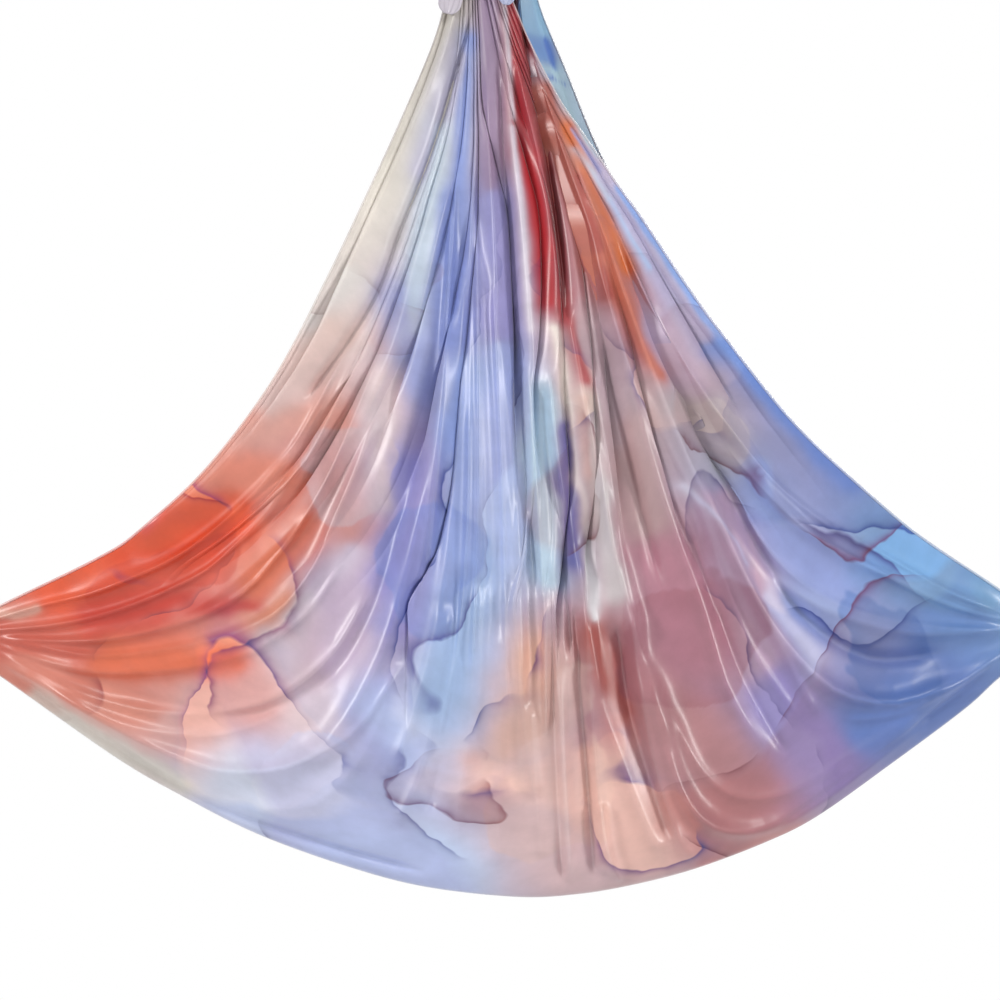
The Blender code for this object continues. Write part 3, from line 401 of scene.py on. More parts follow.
def tuck_crossings(x, y, left, right, tucks):
    """Where each tuck crosses each row of a fine even grid, as a share of the way across."""
    lowest, even_above, evened, least = 0.60, 0.10, 0.6, 0.004
    heights = np.linspace(gather_y, lowest, 60)
    x_l, x_r = (np.interp(heights, edge[:, 1], edge[:, 0]) for edge in (curve(left, 400), curve(right, 400)))
    crossings = []
    for k, shares_at in enumerate(tucks):
        t = np.interp(heights, tuck_heights, shares_at)
        even = (k + 1) / (len(tucks) + 1)
        t = t + (even - t) * evened * ramp(even_above, gather_y, heights)
        past = x - np.interp(y, heights, x_l + t * (x_r - x_l)) >= 0
        crossings.append(np.argmax(past, axis=1) / (x.shape[1] - 1))
    crossings = np.stack(crossings, -1)
    # the first rows are too tight to tell, and the steps of the grid are evened out along each tuck
    crossings[:4] = crossings[4]
    blur = 9
    kernel = np.hanning(2 * blur + 1) / np.hanning(2 * blur + 1).sum()
    padded = np.pad(crossings, ((blur, blur), (0, 0)), mode="edge")
    crossings = np.stack([np.convolve(column, kernel, "valid") for column in padded.T], -1)
    return np.maximum.accumulate(np.clip(crossings, least, 1 - least), axis=1)


def tucked_columns(crossings, row_width, height, tuck_depth, run_out, steps, rng):
    """Columns over each row: place across, depth in a tuck, sideways lean, rounding, and the step counts.

    A tuck is a closed slit near the gather, opens into a valley and runs out."""
    slit, valley, column_width, tallest_pleat = 0.0007, 0.026, 0.0034, 0.021
    unevenness, opening, widest_mouth = 0.12, 0.36, 0.42
    rows, count = crossings.shape
    run_out = rng.uniform(run_out - unevenness, run_out + unevenness, count)[None]
    keep = 1 - ramp(run_out - opening, run_out, height)
    mouth = (slit + valley * (1 - keep) ** 1.2) / row_width
    edge = np.zeros((rows, 1))
    bounds = np.hstack([edge, crossings, edge + 1])
    gaps = np.diff(bounds, axis=1)
    mouth = np.minimum(mouth, widest_mouth * np.minimum(gaps[:, :-1], gaps[:, 1:]))
    shallower = 0.72 + 0.28 * ramp(-0.05, 0.10, height)
    deep = tuck_depth * rng.uniform(0.8, 1.1, count) * keep ** 1.4 * shallower
    # tucks lean in under the middle of the cloth
    lean = (0.5 - crossings) * np.minimum(0.20, 0.66 * row_width)
    half = np.hstack([edge, mouth, edge])
    if steps is None:
        steps = [max(9, math.ceil(wide / column_width)) for wide in (gaps * row_width).max(0)]
    wall = np.linspace(-1, 1, 19)[1:-1]
    down = (1 - np.abs(wall)) ** 1.25
    pleats_end, pleats_full = 0.78, 0.40
    fade = ramp(pleats_end, pleats_full, height)
    columns = []
    for j in range(count + 1):
        here, after = slice(j, j + 1), slice(j + 1, j + 2)
        s = np.linspace(0, 1, steps[j] + 1)
        start, end = bounds[:, here] + half[:, here], bounds[:, after] - half[:, after]
        level = np.zeros((rows, len(s)))
        tall = rng.uniform(0.7, 1.25) * np.minimum(0.38 * gaps[:, here] * row_width, tallest_pleat)
        # a free edge lies level, and the cloth between two tucks is rounded
        beside = np.clip(2 * s - 1, -1 if j > 0 else 0, 1 if j < count else 0)
        columns.append((start + s * (end - start), level, level, tall * fade * (1 - beside ** 2)))
        if j < count:
            columns.append((crossings[:, here] + wall * mouth[:, here], deep[:, here] * down,
                            lean[:, here] * keep[:, here] ** 1.4 * down, np.zeros((rows, len(wall)))))
    return (*(np.hstack(group) for group in zip(*columns)), steps)


def half_sheet(left, right, folds, tucks, seed, rows, tuck_depth, run_out, steps=None):
    """One half, from the gather down to the bottom fold: points in metres, and shares of the picture."""
    rng = np.random.default_rng(seed)
    v = np.linspace(0, 1, rows)[:, None]
    side_l, side_r = curve(left, rows), curve(right, rows)
    fine = np.linspace(0, 1, 500)
    foot = curve(bottom, len(fine))

    def lay(u):
        """Places in the picture of a share across each row; rows sag more the lower they are."""
        places = []
        for k in (0, 1):
            sag = np.interp(u, fine, foot[:, k]) - (1 - u) * left_corner[k] - u * right_corner[k]
            places.append((1 - u) * side_l[:, k:k + 1] + u * side_r[:, k:k + 1] + v * sag)
        return places

    x, y = lay(np.broadcast_to(fine, (rows, len(fine))))
    crossings = tuck_crossings(x, y, left, right, tucks)
    row_width = np.hypot(x[:, -1] - x[:, 0], y[:, -1] - y[:, 0])[:, None] * share_size
    halfway = len(fine) // 2
    u, sunk, leaning, swell, steps = tucked_columns(
        crossings, row_width, y[:, halfway:halfway + 1], tuck_depth, run_out, steps, rng)
    # columns even out below the tucks, so that both halves meet in the bottom fold
    columns, even_from = u.shape[1], 0.74
    u = u + (np.linspace(0, 1, columns) - u) * ramp(even_from, 1.0, v)
    flat = np.stack(lay(u), -1)
    share = flat.reshape(-1, 2)
    place = hung(share)
    depth = (share[:, 1] - gather_y) / drop_share

    # the plain pocket between the halves, round at the bottom fold and flat at the drawn corners
    half_pocket, flat_bunch, full_bunch, bunch_foot = 0.055, 0.003, 0.030, 0.55
    fold_reach, corner_reach = 0.07, 0.22
    foot_line = hung(foot[::4])
    above_fold, _ = to_line(place, foot_line)
    tip = np.minimum(*(np.hypot(*(place - corner).T) for corner in (foot_line[0], foot_line[-1])))
    open_up = np.sin(math.pi / 2 * np.clip(depth / bunch_foot, 0, 1)) ** 0.6
    billow = np.sqrt(1 - np.exp(-above_fold / fold_reach)) * (1 - np.exp(-tip / corner_reach))
    body = half_pocket * billow * open_up
    stack = flat_bunch + full_bunch * np.clip(1 - depth / bunch_foot, 0, 1) ** 2

    # folds widen as they fan out from the gather
    wider, taller, fanned_out = 1.2, 1.45, 0.50
    fan = 0.14 + 0.86 * np.clip(depth / fanned_out, 0, 1)
    relief = np.zeros(len(place))
    for height, width, line in folds:
        shape = nearness(place, hung(curve(np.divide(line, 1000), 34)), wider * width / 1000 * fan)
        relief += taller * height / 1000 * shape * np.clip(0.35 + fan, 0, 1)

    # faint pulls and unevenness of stretched tricot
    pull_height, pull_length, narrower = 0.0010, 0.22, 2.0
    pulls = ripple(place[:, 0] * narrower, place[:, 1], pull_length, seed + 90, 2)
    relief += pull_height * pulls * fan * billow
    relief += swell.ravel() - sunk.ravel()
    fold_calm, corner_calm, thinnest, on_fold = 0.03, 0.06, 0.0006, 0.0005
    calm = (1 - np.exp(-above_fold / fold_calm)) ** 0.6 * (1 - np.exp(-tip / corner_calm))
    forward = np.maximum(body + stack + relief * calm, thinnest)

    # the crests of the tallest folds are flattened, as the pull of the corners does
    crest, give = 0.098, 0.022
    proud = np.maximum(forward - crest, 0)
    forward += give * np.tanh(proud / give) - proud
    forward[above_fold < on_fold] = 0.0

    # near the gather the cloth is drawn up, in and back to its knot
    drawn_in, drawn_back, drawn_up = 0.22, 0.016, 0.013
    drawn_above, lifted_above = -0.52, -0.42
    rise = ramp(drawn_above, gather_z, place[:, 1])
    knot_x = hung(np.mean([left[0], right[0]], axis=0))[0]
    x = place[:, 0] + leaning.ravel()
    x = x + (knot_x - x) * drawn_in * rise
    z = place[:, 1] + drawn_up * ramp(lifted_above, gather_z, place[:, 1])
    points = np.stack([x, drawn_back * rise - forward, z], -1)
    return points.reshape(rows, columns, 3), flat, steps


front_rows, back_rows = 400, 220
front, front_shares, steps = half_sheet(front_left, front_right, front_folds, front_tucks, seed=11,
                                        rows=front_rows, tuck_depth=0.044, run_out=0.73)
back, back_shares, _ = half_sheet(back_left, back_right, back_folds, back_tucks, seed=47,
                                  rows=back_rows, tuck_depth=0.050, run_out=0.84, steps=steps)
back[..., 1] *= -1
back, back_shares = back[::-1][1:], back_shares[::-1][1:]
points = np.concatenate([front, back])
shares = np.concatenate([front_shares, back_shares])
rows, columns = points.shape[:2]
index = np.arange(rows * columns).reshape(rows, columns)
quads = np.stack([index[:-1, :-1], index[1:, :-1], index[1:, 1:], index[:-1, 1:]], -1).reshape(-1, 4)

# cloth coordinates: metres of cloth across and along, so the print closes up in the tucks
cloth_width, cloth_length = 2.8, 4.6
step = np.linalg.norm(np.diff(points, axis=1), axis=2)
run = np.concatenate([np.zeros((rows, 1)), np.cumsum(step, axis=1)], axis=1)
cloth_across = cloth_width * run / run[:, -1:]
cloth_along = np.linspace(0, cloth_length, rows)[:, None]

# colour washes of the print, with painted shade and painted highlight strokes among them: from x, y, to x, y,
# half width, colour; they run into one another
washes_and_painted_light = [
    (450, -90, 372, 180, 30, "D3CEC4"), (372, 180, 310, 320, 34, "E6E1D6"),
    (330, 330, 275, 405, 30, "F2D2BF"), (245, 415, 215, 470, 18, "F5A284"),
    (245, 430, 330, 420, 30, "F8B398"), (215, 480, 290, 480, 30, "FB9672"), (60, 590, 225, 505, 26, "F4602E"),
    (120, 560, 240, 530, 20, "F04A16"), (90, 615, 260, 600, 16, "D8422E"), (100, 655, 230, 665, 24, "EE6E44"),
    (255, 575, 310, 520, 26, "EC764E"), (230, 630, 290, 600, 22, "F09C7A"),
    (180, 560, 240, 515, 10, "E8470F"), (300, 620, 350, 560, 20, "EDDCDA"), (-60, 620, 35, 610, 4, "EDB9A0"),
    (-50, 642, 90, 645, 18, "D8634B"), (20, 672, 160, 715, 24, "E58F76"), (720, 345, 850, 480, 12, "6C92DA"),
    (170, 720, 290, 680, 30, "E6B0A4"), (30, 700, 180, 790, 12, "E6DAC8"), (240, 775, 330, 800, 40, "CDD5EA"),
    (280, 650, 310, 710, 30, "F6E2DC"), (300, 440, 352, 530, 28, "EBA28E"),
    (378, 390, 378, 500, 22, "F0D8CC"), (330, 590, 355, 640, 30, "E3C9CF"), (462, 60, 420, 170, 15, "B6B4CA"),
    (440, 130, 412, 330, 14, "C2D0DC"), (470, 40, 456, 200, 8, "8496D0"), (450, 200, 450, 340, 20, "8494CC"),
    (400, 300, 425, 380, 20, "AAB2D8"), (487, -50, 490, 190, 10, "96809E"),
    (492, 200, 500, 330, 14, "9A98C8"), (508, -50, 524, 150, 9, "A0222E"), (528, 160, 550, 300, 9, "AE2029"),
    # the first two strokes of the next line, very dark crimson, are painted shade along the deep groove
    # beside the red band
    (520, 20, 548, 170, 3.5, "7A1018"), (548, 170, 568, 320, 4, "6E0C14"), (545, 90, 580, 220, 6, "A5584E"),
    (562, 300, 580, 380, 8, "B04A4C"), (578, 400, 592, 480, 8, "D9B0A6"), (500, -50, 514, 120, 3, "CFC4D0"),
    (514, 130, 530, 330, 3.5, "D4CCDA"), (552, 330, 600, 620, 4, "EBE2DC"),
    (568, 130, 625, 270, 10, "CC6A34"), (578, 180, 610, 300, 8, "A85048"), (600, 260, 662, 370, 10, "C87058"),
    (600, 180, 700, 340, 11, "B5AFCE"), (618, 190, 720, 340, 4, "86A4DE"), (532, -60, 545, 20, 8, "92BEDE"),
    (560, 70, 600, 150, 8, "AECBE0"), (555, 60, 590, 140, 5, "B5D8E6"), (528, 0, 545, 50, 3, "6A9AD8"),
    (550, 66, 566, 74, 2, "4F72C2"), (575, 150, 610, 200, 6, "BCCDE2"), (610, 200, 650, 270, 5, "A6BFE4"),
    (572, 130, 600, 172, 3, "9A9CCB"), (546, 30, 556, 60, 3, "4A74C4"), (585, 340, 620, 440, 20, "CBB0B2"),
    (400, 470, 395, 620, 30, "A7A3D4"), (470, 380, 462, 560, 24, "9DB2DE"),
    (470, 560, 440, 700, 34, "9AB5DE"), (500, 350, 506, 560, 12, "A9B8E2"),
    (540, 400, 546, 580, 12, "B4CCE0"), (560, 430, 572, 560, 8, "6E6AA6"), (582, 400, 614, 590, 12, "E2D3CB"),
    (625, 430, 650, 520, 26, "C9A29C"), (655, 550, 700, 640, 36, "C0808A"),
    # the first two strokes of the next line, near white, are painted highlights along fold crests
    (762, 595, 815, 662, 11, "E9E6F2"), (690, 480, 742, 565, 5, "E6DEE6"), (600, 640, 630, 710, 18, "B85C50"),
    (650, 700, 730, 800, 44, "BE8280"), (540, 660, 510, 760, 24, "E5B5A0"),
    (515, 780, 580, 850, 36, "E8C1BA"), (610, 780, 640, 860, 28, "E0B6AC"),
    (370, 700, 430, 760, 30, "C6CEEC"), (340, 840, 450, 870, 28, "D2DDF2"),
    (720, 500, 760, 660, 22, "D2AEB8"), (775, 700, 830, 770, 32, "A496C6"),
    (690, 400, 735, 470, 26, "B9B3B8"), (660, 330, 700, 390, 20, "B7A6BE"),
    (750, 470, 840, 570, 30, "98AADA"), (800, 600, 860, 640, 24, "A4B6DC"),
    (880, 550, 980, 620, 34, "74A6DA"), (870, 730, 950, 690, 30, "6E97D4"),
    (990, 600, 1050, 635, 30, "7DB6E0"), (710, 868, 800, 840, 8, "CC8480"),
]
# pools with a harder edge, laid over the washes: middle, half sizes, turn in degrees, colour, strength
pools = [
    ((345, 470), (40, 55), 30, "E9CFC4", 0.55), ((690, 640), (80, 60), -25, "A45A64", 0.45),
    ((560, 780), (60, 90), 10, "E9C2B4", 0.5), ((430, 560), (50, 80), -15, "7A96D4", 0.45),
    ((885, 640), (55, 50), 20, "4F7FC0", 0.55), ((160, 575), (80, 22), -22, "D9360C", 0.45),
    ((715, 430), (36, 26), 40, "CFC9C8", 0.35), ((300, 770), (60, 30), -20, "D6DAEC", 0.55),
]


def washed(shares, seed):
    """The colour of the print's washes and pools at each place, with painted shade and painted highlights
    among them.
    """
    x, y = shares[..., 0].ravel(), shares[..., 1].ravel()
    # washes run straight in the gather and wander lower down
    straight_above, free_below = 0.10, 0.55
    free = 0.08 + 0.92 * ramp(straight_above, free_below, y)
    large, small = 0.15, 0.04
    bent = []
    for k, axis in enumerate((x, y)):
        wander = 0.013 * ripple(x, y, large, seed + k, 3) + 0.0024 * ripple(x, y, small, seed + 9 + k, 3)
        bent.append(axis + free * wander)
    evenness, falloff, pool_edge = 0.16, 1.5, 0.09
    total, weight = np.zeros((len(x), 3)), np.full(len(x), 1e-9)
    for *line, code in washes_and_painted_light:
        start, end, radius = np.split(np.divide(line, 1000), (2, 4))
        d = end - start
        t = np.clip(((bent[0] - start[0]) * d[0] + (bent[1] - start[1]) * d[1]) / (d @ d), 0, 1)
        gap = np.hypot(bent[0] - start[0] - t * d[0], bent[1] - start[1] - t * d[1])
        share = 1 / (evenness + (gap / radius) ** 2) ** falloff
        total += share[:, None] * paint(code)
        weight += share
    colour = total / weight[:, None]
    for number, (middle, sizes, degrees, code, strength) in enumerate(pools):
        middle, sizes, turn = np.divide(middle, 1000), np.divide(sizes, 1000), math.radians(degrees)
        dx, dy = bent[0] - middle[0], bent[1] - middle[1]
        a = (dx * math.cos(turn) + dy * math.sin(turn)) / sizes[0]
        b = (dy * math.cos(turn) - dx * math.sin(turn)) / sizes[1]
        inside = (1 - np.hypot(a, b) + 0.50 * ripple(x, y, large, seed + 40 + number, 2)
                  + 0.10 * ripple(x, y, small, seed + number, 3))
        amount = strength * ramp(0, pool_edge, inside) * (0.55 + 0.45 * ramp(0.8, 0.0, inside))
        colour += amount[:, None] * (np.array(paint(code)) - colour)
    # cloth near the gather is darker: painted shade where the pleats shade one another, and greyed by use
    darkened_above, undarkened_below = -0.03, 0.17
    return colour * (0.84 + 0.16 * ramp(darkened_above, undarkened_below, y))[:, None]


def cloth_mesh(name, vertices, faces, colours, coordinates):
    """A smooth mesh with the print's washes and its cloth coordinates as attributes."""
    mesh = bpy.data.meshes.new(name)
    vertices = vertices.reshape(-1, 3)
    mesh.vertices.add(len(vertices))
    mesh.vertices.foreach_set("co", vertices.ravel())
    mesh.loops.add(faces.size)
    mesh.loops.foreach_set("vertex_index", faces.ravel())
    mesh.polygons.add(len(faces))
    mesh.polygons.foreach_set("loop_start", np.arange(0, faces.size, faces.shape[1]))
    mesh.update(calc_edges=True)
    mesh.validate()
    mesh.shade_smooth()
    wash = mesh.color_attributes.new("wash", "FLOAT_COLOR", "POINT")
    wash.data.foreach_set("color", np.column_stack([colours, np.ones(len(vertices))]).ravel())
    cloth = mesh.attributes.new("cloth", "FLOAT_VECTOR", "POINT")
    cloth.data.foreach_set("vector", coordinates.ravel())
    return add(name, mesh)


# the print's ink: thin dark rims where a blot dried, and a slightly stronger colour inside it
ink, start, end = new_group(
    "ink_blots",
    [("Cloth", "Vector", None), ("Size", "Float", 2.0), ("Level", "Float", 0.5), ("Rim", "Float", 0.01)],
    [("Rim", "Float"), ("Inside", "Float")],
)
given = start.outputs
bend = put(ink, "TexNoise", Vector=given["Cloth"], Scale=5.0, Detail=3).outputs["Color"]
bent = put(ink, "VectorMath", {"operation": "MULTIPLY_ADD"},
           i0=bend, i1=(0.10, 0.10, 0.10), i2=given["Cloth"]).outputs[0]
blots = put(ink, "TexNoise", Vector=bent, Scale=given["Size"], Detail=1.6, Roughness=0.42)
over = maths(ink, "SUBTRACT", blots.outputs[0], given["Level"])
outwards = maths(ink, "MAXIMUM", over, 0.0)
feather = maths(ink, "EXPONENT", maths(ink, "DIVIDE", outwards, maths(ink, "MULTIPLY", given["Rim"], -1.0)))
dark_side = put(ink, "MapRange", Value=over, From_Min=-0.0015, From_Max=0.001).outputs[0]
patchy = put(ink, "TexNoise", Vector=bent, Scale=3.1, Detail=2).outputs[0]
patchy = put(ink, "MapRange", Value=patchy, From_Min=0.44, From_Max=0.57).outputs[0]
inside = put(ink, "MapRange", Value=over, From_Min=0.0, From_Max=0.02).outputs[0]
fill(end, Rim=maths(ink, "MULTIPLY", maths(ink, "MULTIPLY", feather, dark_side), patchy, True), Inside=inside)

# tricot: fine ribs and loops that show only close up
knit, start, end = new_group("tricot_knit", [("Cloth", "Vector", None)], [("Height", "Float")])
ribs, loops = (
    put(knit, "TexWave", {"bands_direction": way}, Vector=start.outputs["Cloth"], Scale=scale,
        Distortion=distortion, Detail=1).outputs["Fac"]
    for way, scale, distortion in (("X", 260, 0.6), ("Y", 180, 0.8))
)
fill(end, Height=maths(knit, "MULTIPLY", ribs, loops))

tricot, tree, shader = new_material("printed_tricot")
colour = put(tree, "Attribute", {"attribute_name": "wash"}).outputs["Color"]
cloth = put(tree, "Attribute", {"attribute_name": "cloth"}).outputs["Vector"]
open_cloth = put(tree, "SeparateXYZ", Vector=cloth).outputs["Z"]
for size, level, rim_width, rim_colour, tint, amount in (
    (0.9, 0.50, 0.0075, "46307C", "DAD2EC", 0.95),
    (1.3, 0.57, 0.0080, "7A1430", "F2CCC4", 1.0),
    (1.1, 0.43, 0.0095, "1C3C94", "C6D8F4", 1.0),
):
    blot = put(tree, "Group", {"node_tree": ink},
               Cloth=cloth, Size=size, Level=level, Rim=rim_width)
    deeper = maths(tree, "MULTIPLY", maths(tree, "MULTIPLY", blot.outputs["Inside"], 0.50), open_cloth)
    colour = mixed(tree, deeper, colour, paint(tint), "MULTIPLY")
    dried = put(tree, "Gamma", Color=colour, Gamma=3.2).outputs[0]
    dried = mixed(tree, 0.6, dried, paint(rim_colour))
    shown = maths(tree, "MULTIPLY", maths(tree, "MULTIPLY", blot.outputs["Rim"], amount), open_cloth)
    colour = mixed(tree, shown, colour, dried)
flow = put(tree, "TexNoise", Vector=cloth, Scale=7, Detail=6, Roughness=0.6).outputs[0]
flow = put(tree, "MapRange", Value=flow, From_Min=0.35, From_Max=0.7, To_Min=0.90, To_Max=1.08)
lighter = put(tree, "VectorMath", {"operation": "SCALE"}, i0=colour, Scale=flow.outputs[0])
knitted = put(tree, "Group", {"node_tree": knit}, Cloth=cloth)
lift = put(tree, "Bump", Strength=0.12, Distance=0.0003, Height=knitted.outputs["Height"])
fill(shader, Base_Color=lighter.outputs[0], Roughness=0.38, Specular_IOR_Level=0.55, Normal=lift.outputs[0],
     Sheen_Weight=0.25, Sheen_Roughness=0.35, Coat_Weight=0.22, Coat_Roughness=0.26)

colours = washed(shares, 5)
ink_free_above, ink_full_below = 0.12, 0.52
spread = ramp(ink_free_above, ink_full_below, shares[..., 1])
coordinates = np.stack(np.broadcast_arrays(cloth_across, cloth_along, spread), -1)
sling = cloth_mesh("sling_cloth", points, quads, colours, coordinates)
sling.data.materials.append(tricot)
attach(sling, "hammock")
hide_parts("front_panel", "back_panel")


# Selvedges: each long side of the sheet curls over into a thin roll about 6 mm thick.
# Four lengths follow the free edges from the gather to the drawn-out corners.
def tube_faces(count, sides, closed=False):
    """Faces of a tube of rings, which may close on itself."""
    grid = np.arange(count * sides).reshape(count, sides)
    if closed:
        grid = np.vstack([grid, grid[:1]])
    beside = np.roll(grid, -1, 1)
    return np.stack([grid[:-1], beside[:-1], beside[1:], grid[1:]], -1).reshape(-1, 4)


def bundle(name, path, radii, pleats, colours, sides, depth, closed=False, twist=0.0, side=(0.0, 1.0, 0.0)):
    """Cloth gathered into a bunch and swept along a path; radii are (wide, deep), once or at each point."""
    count = len(path)
    radii, colours = np.broadcast_to(radii, (count, 2)), np.broadcast_to(colours, (count, 3))
    ahead = np.roll(path, -1, 0) - np.roll(path, 1, 0) if closed else np.gradient(path, axis=0)
    ahead /= np.linalg.norm(ahead, axis=1)[:, None]
    across = np.cross(side, ahead)
    across /= np.linalg.norm(across, axis=1)[:, None]
    over = np.cross(ahead, across)
    turn = np.linspace(0, math.tau, sides, endpoint=False)[None]
    spin = twist * np.linspace(0, 1, count)[:, None]
    bulge = 1 - depth * (0.5 + 0.5 * np.cos(pleats * (turn + spin))) ** 2
    ring = (
        path[:, None] + across[:, None] * (radii[:, 1:2] * bulge * np.cos(turn))[..., None]
        + over[:, None] * (radii[:, 0:1] * bulge * np.sin(turn))[..., None]
    )
    length = np.concatenate([[0], np.cumsum(np.linalg.norm(np.diff(path, axis=0), axis=1))])
    where = np.stack(np.broadcast_arrays(turn / math.tau * 0.5, length[:, None], 0 * turn), -1)
    made = cloth_mesh(name, ring, tube_faces(count, sides, closed), np.repeat(colours, sides, 0), where)
    if not closed:
        work = bmesh.new()
        work.from_mesh(made.data)
        work.verts.ensure_lookup_table()
        work.faces.new([work.verts[i] for i in range(sides)][::-1])
        work.faces.new([work.verts[i] for i in range((count - 1) * sides, count * sides)])
        work.to_mesh(made.data)
        work.free()
        made.data.shade_smooth()
    made.data.materials.append(tricot)
    return made


# the rolls stop short of the gather and of the pinched corners
colour_grid = colours.reshape(rows, columns, 3)
front_part, back_part = range(6, front_rows - 12, 3), range(rows - 5, front_rows + 8, -2)
roll_radius = 0.0028
for name, rows_used, column in (
    ("selvedge_front_left", front_part, 0), ("selvedge_front_right", front_part, -1),
    ("selvedge_back_left", back_part, 0), ("selvedge_back_right", back_part, -1),
):
    chosen = list(rows_used)
    # the roll is thin in the gather, and its first nine rings taper to a point
    fan = np.clip(np.linspace(0.45, 1.9, len(chosen)), 0.45, 1)
    fan = fan * np.clip((np.arange(len(chosen)) + 1) / 9, 0, 1)
    pale = 0.45 * colour_grid[chosen, column] + 0.55 * np.array(paint("D2CFD4"))
    roll = bundle(name, points[chosen, column], roll_radius * fan[:, None], 1, pale, sides=10, depth=0.1)
    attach(roll, "hammock")


# Drawn corners: the sheet is bunched to a finger's width and its spare end flares out beyond the pinch.
# Each is a small pleated fan of the same tricot.
for name, pinch, outward, code in (
    ("left_corner_end", left_corner, -1, "DE8A72"), ("right_corner_end", right_corner, 1, "7DB0DA"),
):
    start = hung(pinch)
    ring_count, sides = 26, 90
    inner_end, fan_length, pleat_count, pleat_depth = -0.052, 0.128, 9, 0.30
    run = np.linspace(0, 1, ring_count)[:, None]
    turn = np.linspace(0, math.tau, sides, endpoint=False)[None]
    pinched, bunched, flared = 0.003, 0.009, 0.030
    flare = pinched + bunched * ramp(0, 0.40, run) + flared * ramp(0.36, 1.1, run)
    pleat = 1 + pleat_depth * np.cos(pleat_count * turn + 0.6 * np.sin(2 * turn))
    x = start[0] + outward * (inner_end + fan_length * run) + 0 * turn
    z = start[1] + flare * pleat * np.sin(turn) + 0.004 * run * np.sin(3 * turn)
    y = (0.9 - 0.45 * run) * flare * pleat * np.cos(turn)
    where = np.stack(np.broadcast_arrays(turn / math.tau * 0.5, run * 0.08, 0.0), -1)
    fan_end = cloth_mesh(name, np.stack([x, y, z], -1), tube_faces(ring_count, sides),
                         np.tile(paint(code), (ring_count * sides, 1)), where)
    fan_end.data.materials.append(tricot)
    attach(fan_end, "hammock")


# Knots: each gathered end goes over the lower bar of its carabiner and is tied under it with three turns.
# The strands are bunched tricot, pulled tight, so they bulge between the turns.
lean = math.radians(18)
hook_x, hook_z = 0.007, -0.2159
link_length, knot_drop, loop_radius = 0.099, 0.043, 0.0188
for name, outward, codes in (("left", -1, ("C6C1C4", "B4AEC2")), ("right", 1, ("8FAAD2", "A39FC0"))):
    down = np.array([outward * math.sin(lean), 0.0, -math.cos(lean)])
    sideways = np.array([-down[2], 0.0, down[0]])
    bar = np.array([outward * hook_x, 0.0, hook_z]) + link_length * down
    heart = bar + knot_drop * down
    legs, arc = (0.03, 0.015), np.radians(np.linspace(0, 180, 26))
    loop = [heart + sideways * loop_radius] + [bar + sideways * loop_radius + down * d for d in legs]
    loop += [bar + loop_radius * (sideways * math.cos(a) - down * math.sin(a)) for a in arc]
    loop += [bar - sideways * loop_radius + down * d for d in legs[::-1]] + [heart - sideways * loop_radius]
    arch = bundle(f"{name}_hitch_loop", np.array(loop), (0.0160, 0.0124), 9, paint(codes[0]), sides=72,
                  twist=1.2, depth=0.22)
    # the three turns: height above the knot's middle, tilt in degrees, radius, half thickness
    turns = []
    for number, (height, tilt, radius, thick) in enumerate((
        (0.015, 16, 0.0205, 0.0100), (-0.001, -14, 0.0215, 0.0105), (-0.016, 12, 0.0175, 0.0095),
    )):
        around = np.linspace(0, math.tau, 56, endpoint=False)
        slope = math.tan(math.radians(tilt))
        ring = np.stack([
            heart[0] + radius * np.cos(around), heart[1] + radius * np.sin(around),
            heart[2] + height + radius * slope * np.cos(around + 0.7 * number) * 0.55,
        ], -1)
        turns.append(bundle(
            f"{name}_knot_turn_{number + 1}", ring, (thick, thick * 0.95), 7, paint(codes[number % 2]),
            sides=56, depth=0.24, closed=True, side=(0.0, 0.0, 1.0)))
    # the core runs upright through the turns and shows above and below them
    core_path = heart + np.linspace(0.027, -0.0295, 12)[:, None] * (0, 0, 1)
    girth = np.linspace(0.015, 0.0195, 12)[:, None]
    core = bundle(f"{name}_knot_core", core_path, girth, 12, paint(codes[1]), sides=96, depth=0.25)
    for piece in [arch, core, *turns]:
        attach(piece, "hammock")
    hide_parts(f"{name}_knot")


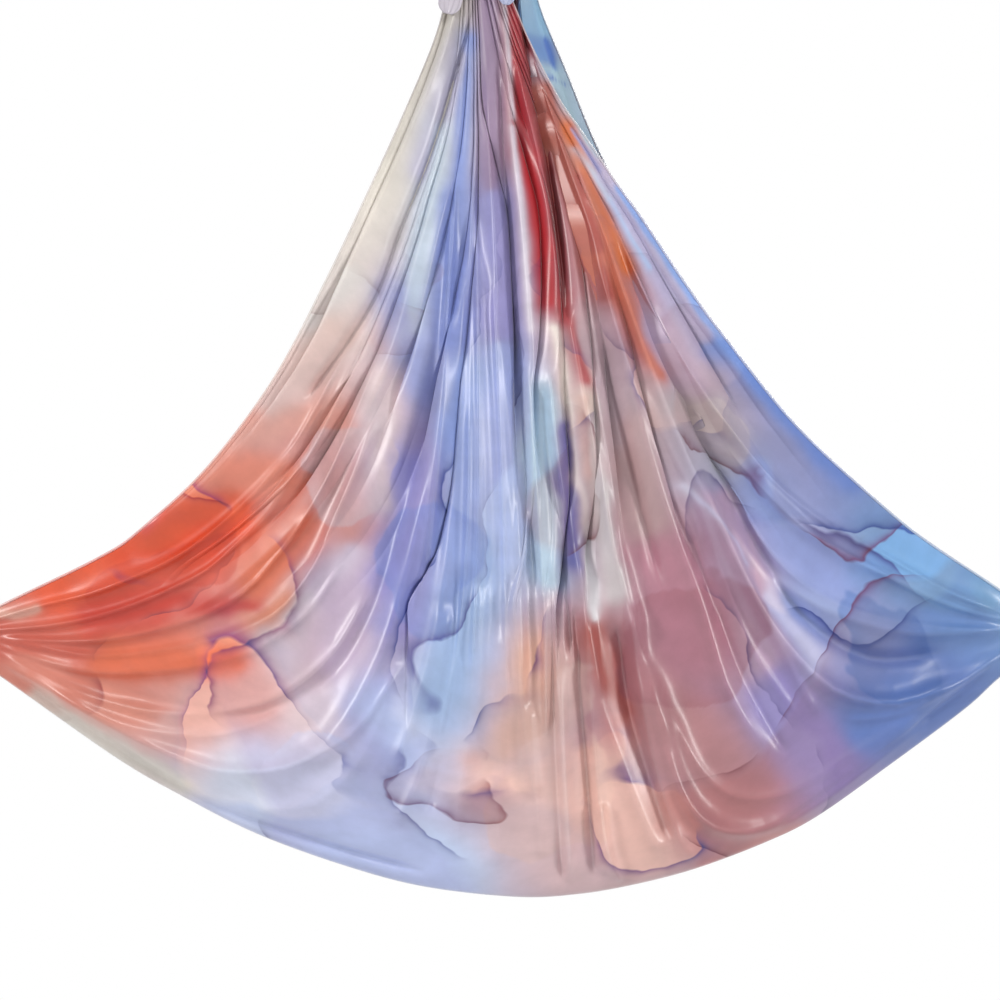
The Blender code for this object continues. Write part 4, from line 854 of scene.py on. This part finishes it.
# Tails: the spare end of each side comes out of its knot and hangs in front as a flat, pleated lobe.
# Each follows the middle line of its solid, and its top hooks over out of the knot.
for name, top_code, foot_code in (("left", "C9C5C6", "B9B2C6"), ("right", "B9BED2", "9FA6CC")):
    spots = np.array([v.co[:] for v in frame["nodes"][f"{name}_tail"].data.vertices])
    same_level, full_ring = 0.0006, 8
    rings = [spots[np.abs(spots[:, 2] - level) < same_level] for level in np.unique(np.round(spots[:, 2], 4))]
    rings = [near for near in rings if len(near) >= full_ring]
    mids = np.array([(near.min(0) + near.max(0)) / 2 for near in rings])
    halves = np.array([(near.max(0) - near.min(0)) / 2 for near in rings])
    levels = np.linspace(mids[-1, 2], mids[0, 2], 60)
    centre = np.stack([np.interp(levels, mids[:, 2], mids[:, k]) for k in (0, 1)] + [levels], -1)
    half_wide, half_deep = (np.interp(levels, mids[:, 2], halves[:, k]) for k in (0, 1))
    run = np.linspace(0, 1, len(levels))
    shape = np.sqrt(np.clip(1 - ramp(0.90, 1.02, run) ** 2, 0.02, 1))
    within = 0.98
    radii = np.stack([half_deep * within * shape, half_wide * within * shape], -1)
    top_tint, foot_tint = np.array(paint(top_code)), np.array(paint(foot_code))
    tint = top_tint + ramp(0.1, 0.9, run)[:, None] * (foot_tint - top_tint) * 0.6
    sway, sway_turns = 0.0012, 9
    centre[:, 1] -= sway * np.sin(sway_turns * run)
    # the hook: a curve from inside the knot, up and over, to the lobe's top
    knot_low, knot_high = (np.array(corner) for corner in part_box(f"{name}_knot"))
    start_height, hook_forward, hook_rise = 0.022, 0.002, 0.008
    inside = (knot_low + knot_high) / 2
    inside[2] = knot_low[2] + start_height
    above = np.array([centre[0, 0], centre[0, 1] - hook_forward, max(inside[2], centre[0, 2]) + hook_rise])
    t = np.linspace(0, 1, 15)[:-1, None]
    centre = np.vstack([(1 - t) ** 2 * inside + 2 * t * (1 - t) * above + t ** 2 * centre[0], centre])
    radii = np.vstack([radii[0] * np.hstack([1 + 0 * t, 0.55 + 0.45 * t]), radii])[:, ::-1]
    tint = np.vstack([np.repeat(tint[:1], len(t), 0), tint])
    tail = bundle(f"{name}_tail_cloth", centre, radii, 11, tint, sides=176, depth=0.55, twist=0.22,
                  side=(1.0, 0.0, 0.0))
    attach(tail, "hammock")
    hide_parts(f"{name}_tail")


# Room: a white backdrop that only the camera and mirrored rays see as white, a pale floor that keeps
# the shadow, and four broad soft lamps: to the left, to the right, above and behind.
world = bpy.data.worlds.new("studio")
bpy.context.scene.world = world
world.use_nodes = True
tree = world.node_tree
tree.nodes.clear()
seen_by = put(tree, "LightPath").outputs
seen = maths(tree, "MAXIMUM", seen_by["Is Camera Ray"], seen_by["Is Transmission Ray"])
seen = maths(tree, "MAXIMUM", seen, seen_by["Is Glossy Ray"])
room = put(tree, "Background", Color=(1.0, 0.985, 0.97, 1), Strength=0.27)
white = put(tree, "Background", Color=(1, 1, 1, 1), Strength=1.0)
choice = put(tree, "MixShader", i0=seen, i1=room.outputs[0], i2=white.outputs[0])
put(tree, "OutputWorld", Surface=choice.outputs[0])

bpy.ops.mesh.primitive_plane_add(size=24, location=(0, 0, -3.02))
floor = bpy.context.object
floor.name = "studio_floor"
pale, tree, shader = new_material("studio_floor")
fill(shader, Base_Color=(0.86, 0.86, 0.87, 1), Roughness=0.9)
glow = put(tree, "Emission", Color=(1, 1, 1, 1), Strength=1.0)
seen_by = put(tree, "LightPath").outputs
seen = maths(tree, "MAXIMUM", seen_by["Is Camera Ray"], seen_by["Is Glossy Ray"])
place = put(tree, "TexCoord").outputs["Object"]
spot = put(tree, "VectorMath", {"operation": "LENGTH"}, i0=place)
far = put(tree, "MapRange", Value=spot.outputs["Value"],
          From_Min=0.05, From_Max=0.58, To_Min=0.75, To_Max=1.0)
blend = put(tree, "MixShader", i0=maths(tree, "MULTIPLY", seen, far.outputs[0]),
            i1=shader.outputs[0], i2=glow.outputs[0])
fill(tree.nodes["Material Output"], Surface=blend.outputs[0])
floor.data.materials.append(pale)

# each lamp: place, what it points at, size, power
for name, place, target, size, power in (
    ("key_lamp", (-5.2, -3.9, -0.3), (0.0, 0, -1.6), 1.3, 196),
    ("side_lamp", (5.2, -3.1, -1.2), (0.1, 0, -1.6), 1.1, 124),
    ("top_lamp", (0.6, -3.2, 2.6), (0.1, 0, -1.9), 1.4, 90),
    ("back_lamp", (2.2, 5.6, 0.4), (0.0, 0, -1.6), 2.4, 215),
):
    lamp = bpy.data.lights.new(name, "AREA")
    lamp.shape = "DISK"
    lamp.size = size
    lamp.energy = power
    lamp.color = (1.0, 0.975, 0.945)
    made = add(name, lamp)
    made.location = place
    made.rotation_euler = (Vector(target) - Vector(place)).to_track_quat("-Z", "Y").to_euler()
bpy.context.scene.view_settings.view_transform = "Standard"
